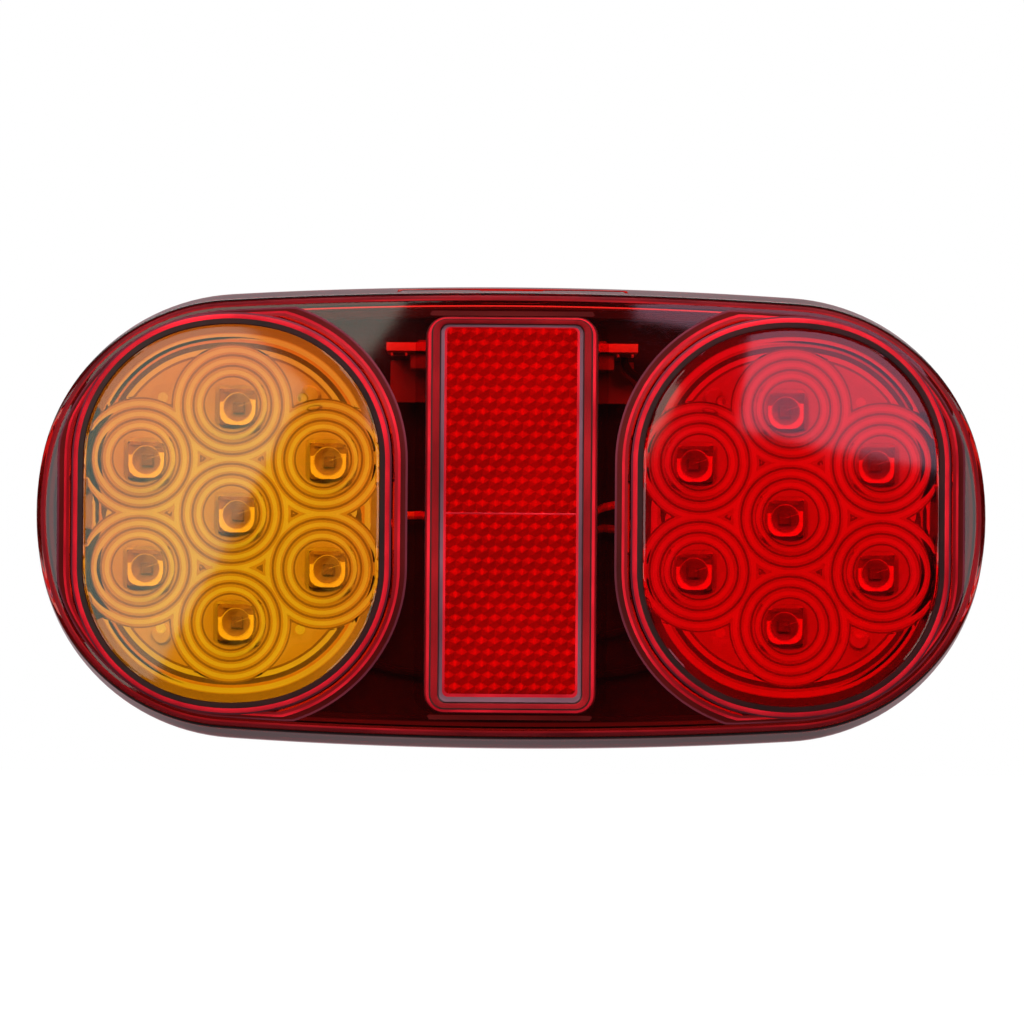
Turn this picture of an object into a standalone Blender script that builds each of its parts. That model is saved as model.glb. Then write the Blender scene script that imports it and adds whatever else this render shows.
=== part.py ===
"""Trailer tail light: amber indicator, red stop and tail lamp, reflector and number-plate lamp in one body.

The lamp stands as it is bolted to a bracket: X runs along the lamp, Z is up and the lens faces -Y.
The origin is the centre of the mounting plane, on the middle pad of the housing's back.
Sizes are in millimetres; MM turns them into metres where a mesh is made. A section is a list of
(inset or radius, y) pairs, and each pair becomes one loop of the skinned solid.
"""

import math

import bmesh
import bpy
from mathutils import Vector

MM = 0.001
GAP = 0.3  # clearance between neighbouring solids
BITE = 0.6  # how far a piece that is joined on runs into its base
PAST = 1.0  # how far a cutter runs past the faces it opens

# Outline of the lamp: one long arc, one shoulder arc and one end arc in each quarter.
HALF_LENGTH = 92.5
HALF_HEIGHT = 45.0
LONG_EDGE_RADIUS = 868.0
END_RADIUS = 57.0
SHOULDER_RADIUS = 40.0

# Depths along Y, from the mounting plane at 0 towards the lens.
COVER_REAR_Y = -1.5
LIP_FRONT_Y = -3.2
FRONT_Y = -29.5
RIM_Y = -31.7
CROWN_Y = -32.6
BACK_Y = -2.0
FLOOR_Y = -4.5
TRAY_RIM_Y = -11.0
BOARD_BACK_Y = -12.0
BOARD_THICKNESS = 1.6
BOARD_INSET = 0.3  # how far a board stays inside its window's outline

# Cover: wall insets from the outline.
LIP_STEP = 0.35
WALL_DRAFT = 2.25
EDGE_RADIUS = 1.7
INNER_FRONT_Y = -27.2
INNER_SECTION = ((2.6, 1.0), (2.7, TRAY_RIM_Y), (4.6, -25.0), (5.2, -26.6), (6.4, INNER_FRONT_Y))

# Round windows, flattened at their sides; the sizes are those of the lens that shows.
WINDOW_X = 52.8
WINDOW_HALF_WIDTH = 27.6
WINDOW_HALF_HEIGHT = 35.4
WINDOW_CORNER = 25.0
COLLAR_FOOT = 4.2
COLLAR_FOOT_Y = -29.2
COLLAR_RIM = 1.9
FLANGE = 1.4
FLANGE_FRONT_Y = -30.1
FLANGE_REAR_Y = -28.6

# Reflector, a plug through the middle of the cover.
REFLECTOR_HALF_WIDTH = 16.3
REFLECTOR_HALF_HEIGHT = 37.5
REFLECTOR_CORNER = 4.0
REFLECTOR_Y = -32.3
PRISM_HALF_WIDTH = 13.3
PRISM_HALF_HEIGHT = 35.4

# Light-emitting diodes: one in the middle and six round it, on 7.6 mm square bodies.
LED_SIDE_X = 17.2
LED_SIDE_Z = 10.3
LED_TOP_Z = 20.5
LED_HALF = 3.8
LED_LEG_OFFSET = 2.54
LED_LEG_HALF = 0.25
LED_LEG_LENGTH = 2.9

# Number-plate lamp, behind the top wall.
LICENCE_HALF_LENGTH = 22.0
LICENCE_WINDOW_Y = (-23.0, -11.0)
LICENCE_BOARD_Z = 31.4
LICENCE_BOARD_Y = (-22.0, -8.0)
LICENCE_BOARD_HALF = 24.0
LICENCE_LED_X = (-11.0, 0.0, 11.0)
LICENCE_LED_Y = -17.0
CARRIER_ARM_X = 17.0
CARRIER_PLATE_Y = (-11.0, -9.5)
CARRIER_LOW_Z = 22.0
CARRIER_PIN = 1.3
PIN_Y = -13.0

# Round pads by which the housing's back rests on the bracket.
PAD_X = 72.0
PAD_Z = 24.0
PAD_RADIUS = 6.0

# Posts that carry the upright boards, with thinner pins through them.
POST_RADIUS = 3.0
POST_PIN = 1.4

# M5 studs, nuts and washers.
STUD_X = 50.0
STUD_RADIUS = 2.5
STUD_END_Y = 20.0
STUD_HEAD_HALF = 4.0
STUD_HEAD_Y = (-8.5, -5.3)
BOSS_RADIUS = 7.5
BOSS_FRONT_Y = -8.8
NUT_HALF = 4.0
NUT_Y = (3.7, 7.7)

# Cable entry.
ENTRY_Z = -22.0
ENTRY_HOLE_RADIUS = 6.0
ENTRY_BORE_RADIUS = 3.6
ENTRY_FLANGE_RADIUS = 7.6
ENTRY_FRONT_Y = -6.9
WIRE_RADIUS = 0.8
WIRE_START_Y = -7.7

BLACK = (0.012, 0.012, 0.013)
RED = (0.55, 0.01, 0.015)
AMBER = (0.85, 0.33, 0.02)
WHITE = (0.8, 0.79, 0.75)
STEEL = (0.56, 0.57, 0.58)


# ---------- outlines ----------

def arc(centre_x, centre_z, radius, start, end, steps):
    """Points of an arc in the XZ plane, angles in radians, without its last point."""
    points = []
    for step in range(steps):
        angle = start + (end - start) * step / steps
        points.append((centre_x + radius * math.cos(angle), centre_z + radius * math.sin(angle)))
    return points


def mirrored_quarters(quarter, top):
    """A whole outline from its first quarter, which starts on +X, and its point on +Z."""
    left = [(-x, z) for x, z in reversed(quarter)]
    bottom_left = [(-x, -z) for x, z in quarter]
    bottom_right = [(x, -z) for x, z in reversed(quarter)]
    whole = quarter + [top] + left + bottom_left[1:] + [(0.0, -top[1])] + bottom_right[:-1]
    return whole


def shoulder_centre():
    """Centre of the arc that touches both the end arc and the long arc from inside."""
    end = Vector((HALF_LENGTH - END_RADIUS, 0.0))
    long_edge = Vector((0.0, HALF_HEIGHT - LONG_EDGE_RADIUS))
    to_end = END_RADIUS - SHOULDER_RADIUS
    to_long = LONG_EDGE_RADIUS - SHOULDER_RADIUS
    between = (long_edge - end).length
    along = (to_end**2 - to_long**2 + between**2) / (2 * between)
    across = math.sqrt(to_end**2 - along**2)
    direction = (long_edge - end) / between
    return end + direction * along + Vector((-direction.y, direction.x)) * across


def lamp_outline(inset):
    centre = shoulder_centre()
    end_x = HALF_LENGTH - END_RADIUS
    long_z = HALF_HEIGHT - LONG_EDGE_RADIUS
    first = math.atan2(centre.y, centre.x - end_x)
    second = math.atan2(centre.y - long_z, centre.x)
    quarter = arc(end_x, 0.0, END_RADIUS - inset, 0.0, first, 1)
    quarter += arc(centre.x, centre.y, SHOULDER_RADIUS - inset, first, second, 7)
    quarter += arc(0.0, long_z, LONG_EDGE_RADIUS - inset, second, math.pi / 2, 2)
    return mirrored_quarters(quarter, (0.0, HALF_HEIGHT - inset))


def window_outline(outset):
    """A window's outline about its own centre, grown by outset."""
    corner_x = WINDOW_HALF_WIDTH - WINDOW_CORNER
    corner_z = math.sqrt((WINDOW_HALF_HEIGHT - WINDOW_CORNER) ** 2 - corner_x**2)
    turn = math.atan2(corner_z, corner_x)
    quarter = [(WINDOW_HALF_WIDTH + outset, 0.0)]
    quarter += arc(corner_x, corner_z, WINDOW_CORNER + outset, 0.0, turn, 5)
    quarter += arc(0.0, 0.0, WINDOW_HALF_HEIGHT + outset, turn, math.pi / 2, 2)
    return mirrored_quarters(quarter, (0.0, WINDOW_HALF_HEIGHT + outset))


def rounded_rectangle(half_width, half_height, radius):
    points = []
    for quarter in range(4):
        side_x = 1 if quarter in (0, 3) else -1
        side_z = 1 if quarter < 2 else -1
        start = quarter * math.pi / 2
        centre_x = side_x * (half_width - radius)
        centre_z = side_z * (half_height - radius)
        points += arc(centre_x, centre_z, radius, start, start + math.pi / 2, 3)
        points.append((centre_x + radius * math.cos(start + math.pi / 2),
                       centre_z + radius * math.sin(start + math.pi / 2)))
    return points


def circle(radius, count=12):
    return arc(0.0, 0.0, radius, 0.0, 2 * math.pi, count)


def hexagon(half_across, count=12):
    """A hexagon with points at its corners and mid-sides, so that it skins onto a circle."""
    points = []
    for step in range(count):
        angle = 2 * math.pi * step / count
        off_side = (angle + math.pi / 6) % (math.pi / 3) - math.pi / 6
        radius = half_across / math.cos(off_side)
        points.append((radius * math.cos(angle), radius * math.sin(angle)))
    return points


def square(half, count=8):
    """A square with points at its corners and mid-sides."""
    points = []
    for step in range(count):
        angle = 2 * math.pi * step / count
        radius = half / max(abs(math.cos(angle)), abs(math.sin(angle)))
        points.append((radius * math.cos(angle), radius * math.sin(angle)))
    return points


# ---------- solids ----------

def at_depth(outline, y, centre=(0.0, 0.0)):
    """An XZ outline as points in space at depth y, moved to a centre."""
    return [Vector((x + centre[0], y, z + centre[1])) for x, z in outline]


def skin(bm, loops, ring=False):
    """Joins loops of equal count by quads; the ends are capped, or joined to each other in a ring."""
    rows = [[bm.verts.new(point * MM) for point in loop] for loop in loops]
    pairs = list(zip(rows, rows[1:]))
    if ring:
        pairs.append((rows[-1], rows[0]))
    for near, far in pairs:
        for index, corner in enumerate(near):
            after = (index + 1) % len(near)
            bm.faces.new((corner, near[after], far[after], far[index]))
    if not ring:
        bm.faces.new(reversed(rows[0]))
        bm.faces.new(rows[-1])


def add_box(bm, low, high):
    corners = [(low[0], low[2]), (high[0], low[2]), (high[0], high[2]), (low[0], high[2])]
    skin(bm, [at_depth(corners, low[1]), at_depth(corners, high[1])])


def make_material(name, colour, roughness, metallic=0.0):
    material = bpy.data.materials.get(name)
    if material is None:
        material = bpy.data.materials.new(name)
        material.use_nodes = True
        shader = material.node_tree.nodes["Principled BSDF"]
        shader.inputs["Base Color"].default_value = (*colour, 1.0)
        shader.inputs["Roughness"].default_value = roughness
        shader.inputs["Metallic"].default_value = metallic
    return material


def make_object(name, mesh, place=(0.0, 0.0, 0.0)):
    obj = bpy.data.objects.new(name, mesh)
    obj.location = Vector(place) * MM
    bpy.context.collection.objects.link(obj)
    return obj


def make_mesh(name, bm, material=None):
    bmesh.ops.recalc_face_normals(bm, faces=bm.faces)
    mesh = bpy.data.meshes.new(name)
    bm.to_mesh(mesh)
    bm.free()
    mesh.shade_smooth()
    mesh.set_sharp_from_angle(angle=math.radians(35))
    if material:
        mesh.materials.append(material)
    return mesh


def make_solid(name, bm, material=None, place=(0.0, 0.0, 0.0)):
    return make_object(name, make_mesh(name, bm, material), place)


def apply_boolean(obj, bm, operation):
    """Unites or cuts with every closed shape in bm, kept as a hidden helper object."""
    helper = make_solid(f"{obj.name}_{operation.lower()}", bm)
    helper.hide_render = True
    helper.display_type = "WIRE"
    modifier = obj.modifiers.new(helper.name, "BOOLEAN")
    modifier.operation = operation
    modifier.solver = "EXACT"
    modifier.object = helper


# ---------- cover and lenses ----------

def outer_section():
    """The cover's outside as (inset, y): lip, drafted wall and rounded front edge."""
    section = [(0.0, COVER_REAR_Y), (0.0, LIP_FRONT_Y), (LIP_STEP, LIP_FRONT_Y - 0.4)]
    edge_inset = LIP_STEP + WALL_DRAFT + EDGE_RADIUS
    edge_y = FRONT_Y + EDGE_RADIUS
    for step in range(4):
        angle = step * math.pi / 6
        section.append((edge_inset - EDGE_RADIUS * math.cos(angle), edge_y - EDGE_RADIUS * math.sin(angle)))
    return section


def lamp_loops(section):
    return [at_depth(lamp_outline(inset), y) for inset, y in section]


def window_loops(centre_x, section):
    return [at_depth(window_outline(outset), y, (centre_x, 0.0)) for outset, y in section]


def make_cover():
    bm = bmesh.new()
    skin(bm, lamp_loops(outer_section()))
    cover = make_solid("lens_cover", bm, make_material("red_cover", RED, 0.08))

    collars = bmesh.new()
    for side in (-1, 1):
        section = ((COLLAR_FOOT, INNER_FRONT_Y - BITE), (COLLAR_FOOT, COLLAR_FOOT_Y), (COLLAR_RIM, RIM_Y))
        skin(collars, window_loops(side * WINDOW_X, section))
    apply_boolean(cover, collars, "UNION")

    hollow = bmesh.new()
    skin(hollow, lamp_loops(INNER_SECTION))
    apply_boolean(cover, hollow, "DIFFERENCE")

    holes = bmesh.new()
    ledge_y = FLANGE_FRONT_Y - GAP
    pocket = FLANGE + GAP
    for side in (-1, 1):
        section = ((GAP, RIM_Y - 1.3), (GAP, ledge_y), (pocket, ledge_y), (pocket, INNER_FRONT_Y + 2.7))
        skin(holes, window_loops(side * WINDOW_X, section))
    opening = rounded_rectangle(REFLECTOR_HALF_WIDTH + GAP, REFLECTOR_HALF_HEIGHT + GAP, REFLECTOR_CORNER + GAP)
    skin(holes, [at_depth(opening, FRONT_Y - PAST), at_depth(opening, INNER_FRONT_Y + PAST)])
    half = LICENCE_HALF_LENGTH + GAP
    front, rear = LICENCE_WINDOW_Y
    add_box(holes, (-half, front - GAP, HALF_HEIGHT - 8.0), (half, rear + GAP, HALF_HEIGHT + 2.0))
    apply_boolean(cover, holes, "DIFFERENCE")


def make_window_lens(name, side, material):
    """A crowned plug through the collar, with a flange that bears on the ledge behind the rim."""
    section = (
        (FLANGE, FLANGE_REAR_Y),
        (FLANGE, FLANGE_FRONT_Y),
        (0.0, FLANGE_FRONT_Y),
        (0.0, RIM_Y + 0.2),
        (-0.6, RIM_Y - 0.3),
        (-9.0, RIM_Y - 0.7),
        (-22.0, CROWN_Y),
    )
    bm = bmesh.new()
    skin(bm, window_loops(side * WINDOW_X, section))
    make_solid(name, bm, material)


def make_reflector():
    plug = (REFLECTOR_HALF_WIDTH, REFLECTOR_HALF_HEIGHT, REFLECTOR_CORNER)
    bevel = 0.6
    face = (plug[0] - bevel, plug[1] - bevel, plug[2] - bevel)
    flange = (plug[0] + 2.0, plug[1] - 0.1, plug[2])
    pocket = (PRISM_HALF_WIDTH, PRISM_HALF_HEIGHT, 1.5)
    flange_y = INNER_FRONT_Y + GAP
    rear_y = flange_y + 1.5
    steps = (
        (face, REFLECTOR_Y),
        (plug, REFLECTOR_Y + bevel),
        (plug, flange_y),
        (flange, flange_y),
        (flange, rear_y),
        (pocket, rear_y),
        (pocket, REFLECTOR_Y + 2.1),
    )
    bm = bmesh.new()
    skin(bm, [at_depth(rounded_rectangle(*size), y) for size, y in steps])
    make_solid("reflector", bm, make_material("red_reflector", (0.7, 0.01, 0.015), 0.1))

    plate = rounded_rectangle(PRISM_HALF_WIDTH - GAP, PRISM_HALF_HEIGHT - GAP, 1.2)
    bm = bmesh.new()
    skin(bm, [at_depth(plate, rear_y - 1.8), at_depth(plate, rear_y - GAP)])
    make_solid("reflector_backing", bm, make_material("backing", (0.35, 0.02, 0.02), 0.4))


def wall_inset(y, near, far):
    """Inset of a drafted wall at depth y, between two (inset, y) points."""
    share = (y - near[1]) / (far[1] - near[1])
    return near[0] + (far[0] - near[0]) * share


def long_edge_height(x, inset):
    return HALF_HEIGHT - LONG_EDGE_RADIUS + math.sqrt((LONG_EDGE_RADIUS - inset) ** 2 - x**2)


def make_licence_window():
    """A clear slab set flush in the cover's top wall."""
    outer = outer_section()[2:4]
    inner = INNER_SECTION[1:3]
    front, rear = LICENCE_WINDOW_Y
    steps = 6
    loops = []
    for step in range(steps + 1):
        x = LICENCE_HALF_LENGTH * (2 * step / steps - 1)
        around = ((front, inner), (front, outer), (rear, outer), (rear, inner))
        corners = [(y, wall_inset(y, *wall)) for y, wall in around]
        loops.append([Vector((x, y, long_edge_height(x, inset))) for y, inset in corners])
    bm = bmesh.new()
    skin(bm, loops)
    make_solid("licence_window", bm, make_material("clear_plastic", (0.9, 0.92, 0.93), 0.05))


# ---------- housing ----------

def board_post_places():
    """Centres of the posts that carry the two upright boards, one low outside and one high inside."""
    across = 14.0
    up = 23.0
    return [(side * (WINDOW_X + end * across), -end * up) for side in (-1, 1) for end in (-1, 1)]


def make_housing():
    tray_inset = 4.2
    wall = 2.0
    section = (
        (tray_inset + 0.6, BACK_Y),
        (tray_inset, BACK_Y - 0.6),
        (tray_inset, TRAY_RIM_Y),
        (tray_inset + wall, TRAY_RIM_Y),
        (tray_inset + wall, FLOOR_Y),
    )
    bm = bmesh.new()
    skin(bm, lamp_loops(section))
    housing = make_solid("housing", bm, make_material("black_plastic", BLACK, 0.45))

    adds = bmesh.new()
    middle_pad = rounded_rectangle(16.0, 6.0, 2.0)
    skin(adds, [at_depth(middle_pad, BACK_Y - BITE), at_depth(middle_pad, 0.0)])
    for x in (-PAD_X, PAD_X):
        for z in (-PAD_Z, PAD_Z):
            skin(adds, [at_depth(circle(PAD_RADIUS), y, (x, z)) for y in (BACK_Y - BITE, 0.0)])
    for x in (-STUD_X, STUD_X):
        skin(adds, [at_depth(circle(BOSS_RADIUS), y, (x, 0.0)) for y in (BACK_Y - BITE, 0.0)])
        skin(adds, [at_depth(circle(BOSS_RADIUS), y, (x, 0.0)) for y in (BOSS_FRONT_Y, FLOOR_Y + BITE)])
    shoulder_y = BOARD_BACK_Y + GAP
    tip_y = BOARD_BACK_Y - BOARD_THICKNESS - 0.9
    for place in board_post_places():
        section = (
            (POST_RADIUS, FLOOR_Y + BITE),
            (POST_RADIUS, shoulder_y),
            (POST_PIN, shoulder_y),
            (POST_PIN, tip_y),
        )
        skin(adds, [at_depth(circle(radius), y, place) for radius, y in section])
    apply_boolean(housing, adds, "UNION")

    cuts = bmesh.new()
    for x in (-STUD_X, STUD_X):
        pocket = hexagon(STUD_HEAD_HALF + GAP)
        hole = circle(STUD_RADIUS + GAP)
        floor_y = STUD_HEAD_Y[1] + GAP
        steps = ((pocket, BOSS_FRONT_Y - PAST), (pocket, floor_y), (hole, floor_y), (hole, PAST))
        skin(cuts, [at_depth(outline, y, (x, 0.0)) for outline, y in steps])
    entry = circle(ENTRY_HOLE_RADIUS, 14)
    skin(cuts, [at_depth(entry, y, (0.0, ENTRY_Z)) for y in (FLOOR_Y - PAST, BACK_Y + PAST)])
    apply_boolean(housing, cuts, "DIFFERENCE")


def make_seal():
    section = ((3.0, BACK_Y - 0.2), (3.0, TRAY_RIM_Y + 0.5), (3.9, TRAY_RIM_Y + 0.5), (3.9, BACK_Y - 0.2))
    bm = bmesh.new()
    skin(bm, lamp_loops(section), ring=True)
    make_solid("perimeter_seal", bm, make_material("sealant", (0.02, 0.02, 0.02), 0.7))


# ---------- boards and diodes ----------

def led_places():
    """Centres of a window's seven diodes, the middle one first."""
    ring = [(0.0, LED_TOP_Z), (LED_SIDE_X, LED_SIDE_Z), (LED_SIDE_X, -LED_SIDE_Z)]
    return [(0.0, 0.0)] + ring + [(-x, -z) for x, z in ring]


def leg_offsets():
    return [(dx * LED_LEG_OFFSET, dz * LED_LEG_OFFSET) for dx in (-1, 1) for dz in (-1, 1)]


def make_led_mesh(name, material):
    """A square diode that shines along -Y, its base at y = 0 and its legs behind it."""
    steps = (
        (square(LED_HALF), 0.0),
        (square(LED_HALF), -2.2),
        (circle(2.5, 8), -2.2),
        (circle(2.5, 8), -3.2),
        (circle(1.9, 8), -4.3),
        (circle(0.8, 8), -4.9),
    )
    bm = bmesh.new()
    skin(bm, [at_depth(outline, y) for outline, y in steps])
    bmesh.ops.recalc_face_normals(bm, faces=bm.faces)
    # The base is split into a grid whose four small cells are drawn out as legs.
    near = LED_LEG_OFFSET - LED_LEG_HALF
    far = LED_LEG_OFFSET + LED_LEG_HALF
    for cut in (-far, -near, near, far):
        for normal in (Vector((1, 0, 0)), Vector((0, 0, 1))):
            base = [face for face in bm.faces if face.calc_center_median().y > -0.01 * MM]
            geometry = base + list({edge for face in base for edge in face.edges})
            bmesh.ops.bisect_plane(bm, geom=geometry, plane_co=normal * cut * MM, plane_no=normal, dist=1e-8)
    legs = []
    for face in bm.faces:
        middle = face.calc_center_median() / MM
        on_base = middle.y > -0.01
        on_leg = all(abs(abs(value) - LED_LEG_OFFSET) < LED_LEG_HALF for value in (middle.x, middle.z))
        if on_base and on_leg:
            legs.append(face)
    made = bmesh.ops.extrude_discrete_faces(bm, faces=legs)
    for face in made["faces"]:
        bmesh.ops.translate(bm, verts=face.verts, vec=(0.0, LED_LEG_LENGTH * MM, 0.0))
    return make_mesh(name, bm, material)


def make_window_board(name, side, material):
    """An upright board with square holes for the diodes' legs and round ones for its posts."""
    front_y = BOARD_BACK_Y - BOARD_THICKNESS
    bm = bmesh.new()
    skin(bm, window_loops(side * WINDOW_X, ((-BOARD_INSET, front_y), (-BOARD_INSET, BOARD_BACK_Y))))
    board = make_solid(name, bm, material)
    holes = bmesh.new()
    half = LED_LEG_HALF + GAP
    for led_x, led_z in led_places():
        for leg_x, leg_z in leg_offsets():
            x = side * WINDOW_X + led_x + leg_x
            z = led_z + leg_z
            add_box(holes, (x - half, front_y - PAST, z - half), (x + half, BOARD_BACK_Y + PAST, z + half))
    for place in board_post_places():
        if place[0] * side > 0:
            hole = circle(POST_PIN + GAP)
            skin(holes, [at_depth(hole, y, place) for y in (front_y - PAST, BOARD_BACK_Y + PAST)])
    apply_boolean(board, holes, "DIFFERENCE")


def make_licence_board(material):
    """A flat board under the top wall, held on two heat-staked pins."""
    low = LICENCE_BOARD_Z
    high = LICENCE_BOARD_Z + BOARD_THICKNESS
    bm = bmesh.new()
    half_length = LICENCE_BOARD_HALF
    add_box(bm, (-half_length, LICENCE_BOARD_Y[0], low), (half_length, LICENCE_BOARD_Y[1], high))
    board = make_solid("licence_board", bm, material)
    holes = bmesh.new()
    half = LED_LEG_HALF + GAP
    for led_x in LICENCE_LED_X:
        for leg_x, leg_y in leg_offsets():
            x = led_x + leg_x
            y = LICENCE_LED_Y + leg_y
            add_box(holes, (x - half, y - half, low - PAST), (x + half, y + half, high + PAST))
    for x in (-CARRIER_ARM_X, CARRIER_ARM_X):
        skin(holes, upright_circle(CARRIER_PIN + GAP, x, (low - PAST, high + PAST)))
    apply_boolean(board, holes, "DIFFERENCE")


def upright_circle(radius, x, heights):
    """Loops of an upright pin or hole of the number-plate board."""
    return [[Vector((x + px, PIN_Y + py, z)) for px, py in circle(radius, 8)] for z in heights]


def make_licence_carrier(material):
    """A plate across the lamp with two arms under the number-plate board, whose pins hold the board."""
    top = LICENCE_BOARD_Z - GAP
    plate_front, plate_rear = CARRIER_PLATE_Y
    half_length = LICENCE_BOARD_HALF - 0.5
    bm = bmesh.new()
    add_box(bm, (-half_length, plate_front, CARRIER_LOW_Z), (half_length, plate_rear, top - 1.0))
    carrier = make_solid("licence_board_carrier", bm, material)
    arms = bmesh.new()
    for x in (-CARRIER_ARM_X, CARRIER_ARM_X):
        add_box(arms, (x - 2.5, LICENCE_BOARD_Y[0] + 2.0, top - 3.0), (x + 2.5, FLOOR_Y - GAP, top))
    apply_boolean(carrier, arms, "UNION")
    pins = bmesh.new()
    for x in (-CARRIER_ARM_X, CARRIER_ARM_X):
        skin(pins, upright_circle(CARRIER_PIN, x, (top - BITE, LICENCE_BOARD_Z + BOARD_THICKNESS + 0.9)))
    apply_boolean(carrier, pins, "UNION")


def place_leds():
    base_y = BOARD_BACK_Y - BOARD_THICKNESS - GAP
    for side, name, colour in ((-1, "indicator", AMBER), (1, "stop_tail", RED)):
        mesh = make_led_mesh(f"{name}_led", make_material(f"{name}_led", colour, 0.15))
        for number, (x, z) in enumerate(led_places(), 1):
            make_object(f"{name}_led_{number}", mesh, (side * WINDOW_X + x, base_y, z))
    mesh = make_led_mesh("licence_led", make_material("licence_led", (0.9, 0.9, 0.85), 0.15))
    for number, x in enumerate(LICENCE_LED_X, 1):
        place = (x, LICENCE_LED_Y, LICENCE_BOARD_Z + BOARD_THICKNESS + GAP)
        led = make_object(f"licence_led_{number}", mesh, place)
        led.rotation_euler.x = -math.pi / 2


def make_chip(name, centre, material):
    """A surface-mounted component on a board's back, longer along X."""
    half_length = 1.6
    half_width = 0.8
    height = 0.6
    bm = bmesh.new()
    add_box(bm, (-half_length, 0.0, -half_width), (half_length, height, half_width))
    bmesh.ops.bevel(bm, geom=bm.edges, offset=0.1 * MM, segments=1, affect="EDGES")
    return make_solid(name, bm, material, centre)


def place_chips():
    resistor = make_material("resistor", (0.02, 0.02, 0.02), 0.4)
    diode = make_material("diode", (0.03, 0.03, 0.03), 0.3)
    back = BOARD_BACK_Y + GAP
    for side, name in ((-1, "indicator"), (1, "stop_tail")):
        for number, z in enumerate((-29.0, 29.0), 1):
            make_chip(f"{name}_resistor_{number}", (side * WINDOW_X, back, z), resistor)
        make_chip(f"{name}_diode", (side * (WINDOW_X + 9.0), back, 26.0), diode)
    for number, x in enumerate((-21.6, 21.6), 1):
        centre = (x, LICENCE_BOARD_Y[0] + 1.4, LICENCE_BOARD_Z - GAP)
        chip = make_chip(f"licence_resistor_{number}", centre, resistor)
        chip.rotation_euler.x = -math.pi / 2


# ---------- fasteners and cable entry ----------

def make_stud(name, x, steel):
    head_front, head_rear = STUD_HEAD_Y
    steps = (
        (hexagon(STUD_HEAD_HALF), head_front),
        (hexagon(STUD_HEAD_HALF), head_rear),
        (circle(STUD_RADIUS), head_rear),
        (circle(STUD_RADIUS), STUD_END_Y - 0.7),
        (circle(STUD_RADIUS - 0.6), STUD_END_Y),
    )
    bm = bmesh.new()
    skin(bm, [at_depth(outline, y) for outline, y in steps])
    make_solid(name, bm, steel, (x, 0.0, 0.0))


def make_flat_washer(name, x, steel):
    near = GAP
    far = near + 1.0
    bm = bmesh.new()
    section = ((STUD_RADIUS + GAP, near), (5.0, near), (5.0, far), (STUD_RADIUS + GAP, far))
    skin(bm, [at_depth(circle(radius, 16), y) for radius, y in section], ring=True)
    make_solid(name, bm, steel, (x, 0.0, 0.0))


def make_spring_washer(name, x, steel):
    """A split ring whose ends stand apart along the stud."""
    start_y = 1.6
    thickness = 1.2
    rise = 0.6
    inner = STUD_RADIUS + GAP + 0.05
    outer = 4.6
    steps = 14
    first = math.radians(8)
    sweep = 2 * math.pi - 2 * first
    loops = []
    for step in range(steps + 1):
        angle = first + sweep * step / steps
        y = start_y + rise * step / steps
        direction = Vector((math.cos(angle), 0.0, math.sin(angle)))
        corners = ((inner, y), (outer, y), (outer, y + thickness), (inner, y + thickness))
        loops.append([direction * radius + Vector((0.0, depth, 0.0)) for radius, depth in corners])
    bm = bmesh.new()
    skin(bm, loops)
    make_solid(name, bm, steel, (x, 0.0, 0.0))


def make_nut(name, x, steel):
    """A hexagon nut; its own origin is on the stud's axis at its inner face."""
    height = NUT_Y[1] - NUT_Y[0]
    hole = circle(STUD_RADIUS + GAP)
    flats = hexagon(NUT_HALF)
    steps = ((hole, 0.0), (flats, 0.0), (flats, height), (hole, height))
    bm = bmesh.new()
    skin(bm, [at_depth(outline, y) for outline, y in steps], ring=True)
    make_solid(name, bm, steel, (x, NUT_Y[0], 0.0))


def make_fasteners():
    steel = make_material("zinc_steel", STEEL, 0.3, 1.0)
    for x, hand in ((-STUD_X, "left"), (STUD_X, "right")):
        make_stud(f"mounting_stud_{hand}", x, steel)
        make_flat_washer(f"flat_washer_{hand}", x, steel)
        make_spring_washer(f"spring_washer_{hand}", x, steel)
        make_nut(f"stud_nut_{hand}", x, steel)


def make_grommet():
    rear_y = -GAP
    section = (
        (ENTRY_BORE_RADIUS, ENTRY_FRONT_Y),
        (ENTRY_FLANGE_RADIUS, ENTRY_FRONT_Y),
        (ENTRY_FLANGE_RADIUS, FLOOR_Y - GAP),
        (ENTRY_HOLE_RADIUS - GAP, FLOOR_Y - GAP),
        (ENTRY_HOLE_RADIUS - GAP, BACK_Y + GAP),
        (ENTRY_FLANGE_RADIUS, BACK_Y + GAP),
        (ENTRY_FLANGE_RADIUS, rear_y),
        (ENTRY_BORE_RADIUS, rear_y),
    )
    bm = bmesh.new()
    skin(bm, [at_depth(circle(radius, 14), y) for radius, y in section], ring=True)
    make_solid("cable_grommet", bm, make_material("rubber", (0.015, 0.015, 0.015), 0.8), (0.0, 0.0, ENTRY_Z))


# ---------- wires ----------

def smooth_route(points, per_span=3):
    """A Catmull-Rom curve through the points, which are in millimetres."""
    points = [Vector(point) for point in points]
    padded = [2 * points[0] - points[1]] + points + [2 * points[-1] - points[-2]]
    route = []
    for a, b, c, d in zip(padded, padded[1:], padded[2:], padded[3:]):
        for step in range(per_span):
            t = step / per_span
            route.append(0.5 * (2 * b + (c - a) * t + (2 * a - 5 * b + 4 * c - d) * t**2
                                + (3 * b - a - 3 * c + d) * t**3))
    route.append(points[-1])
    return route


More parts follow.
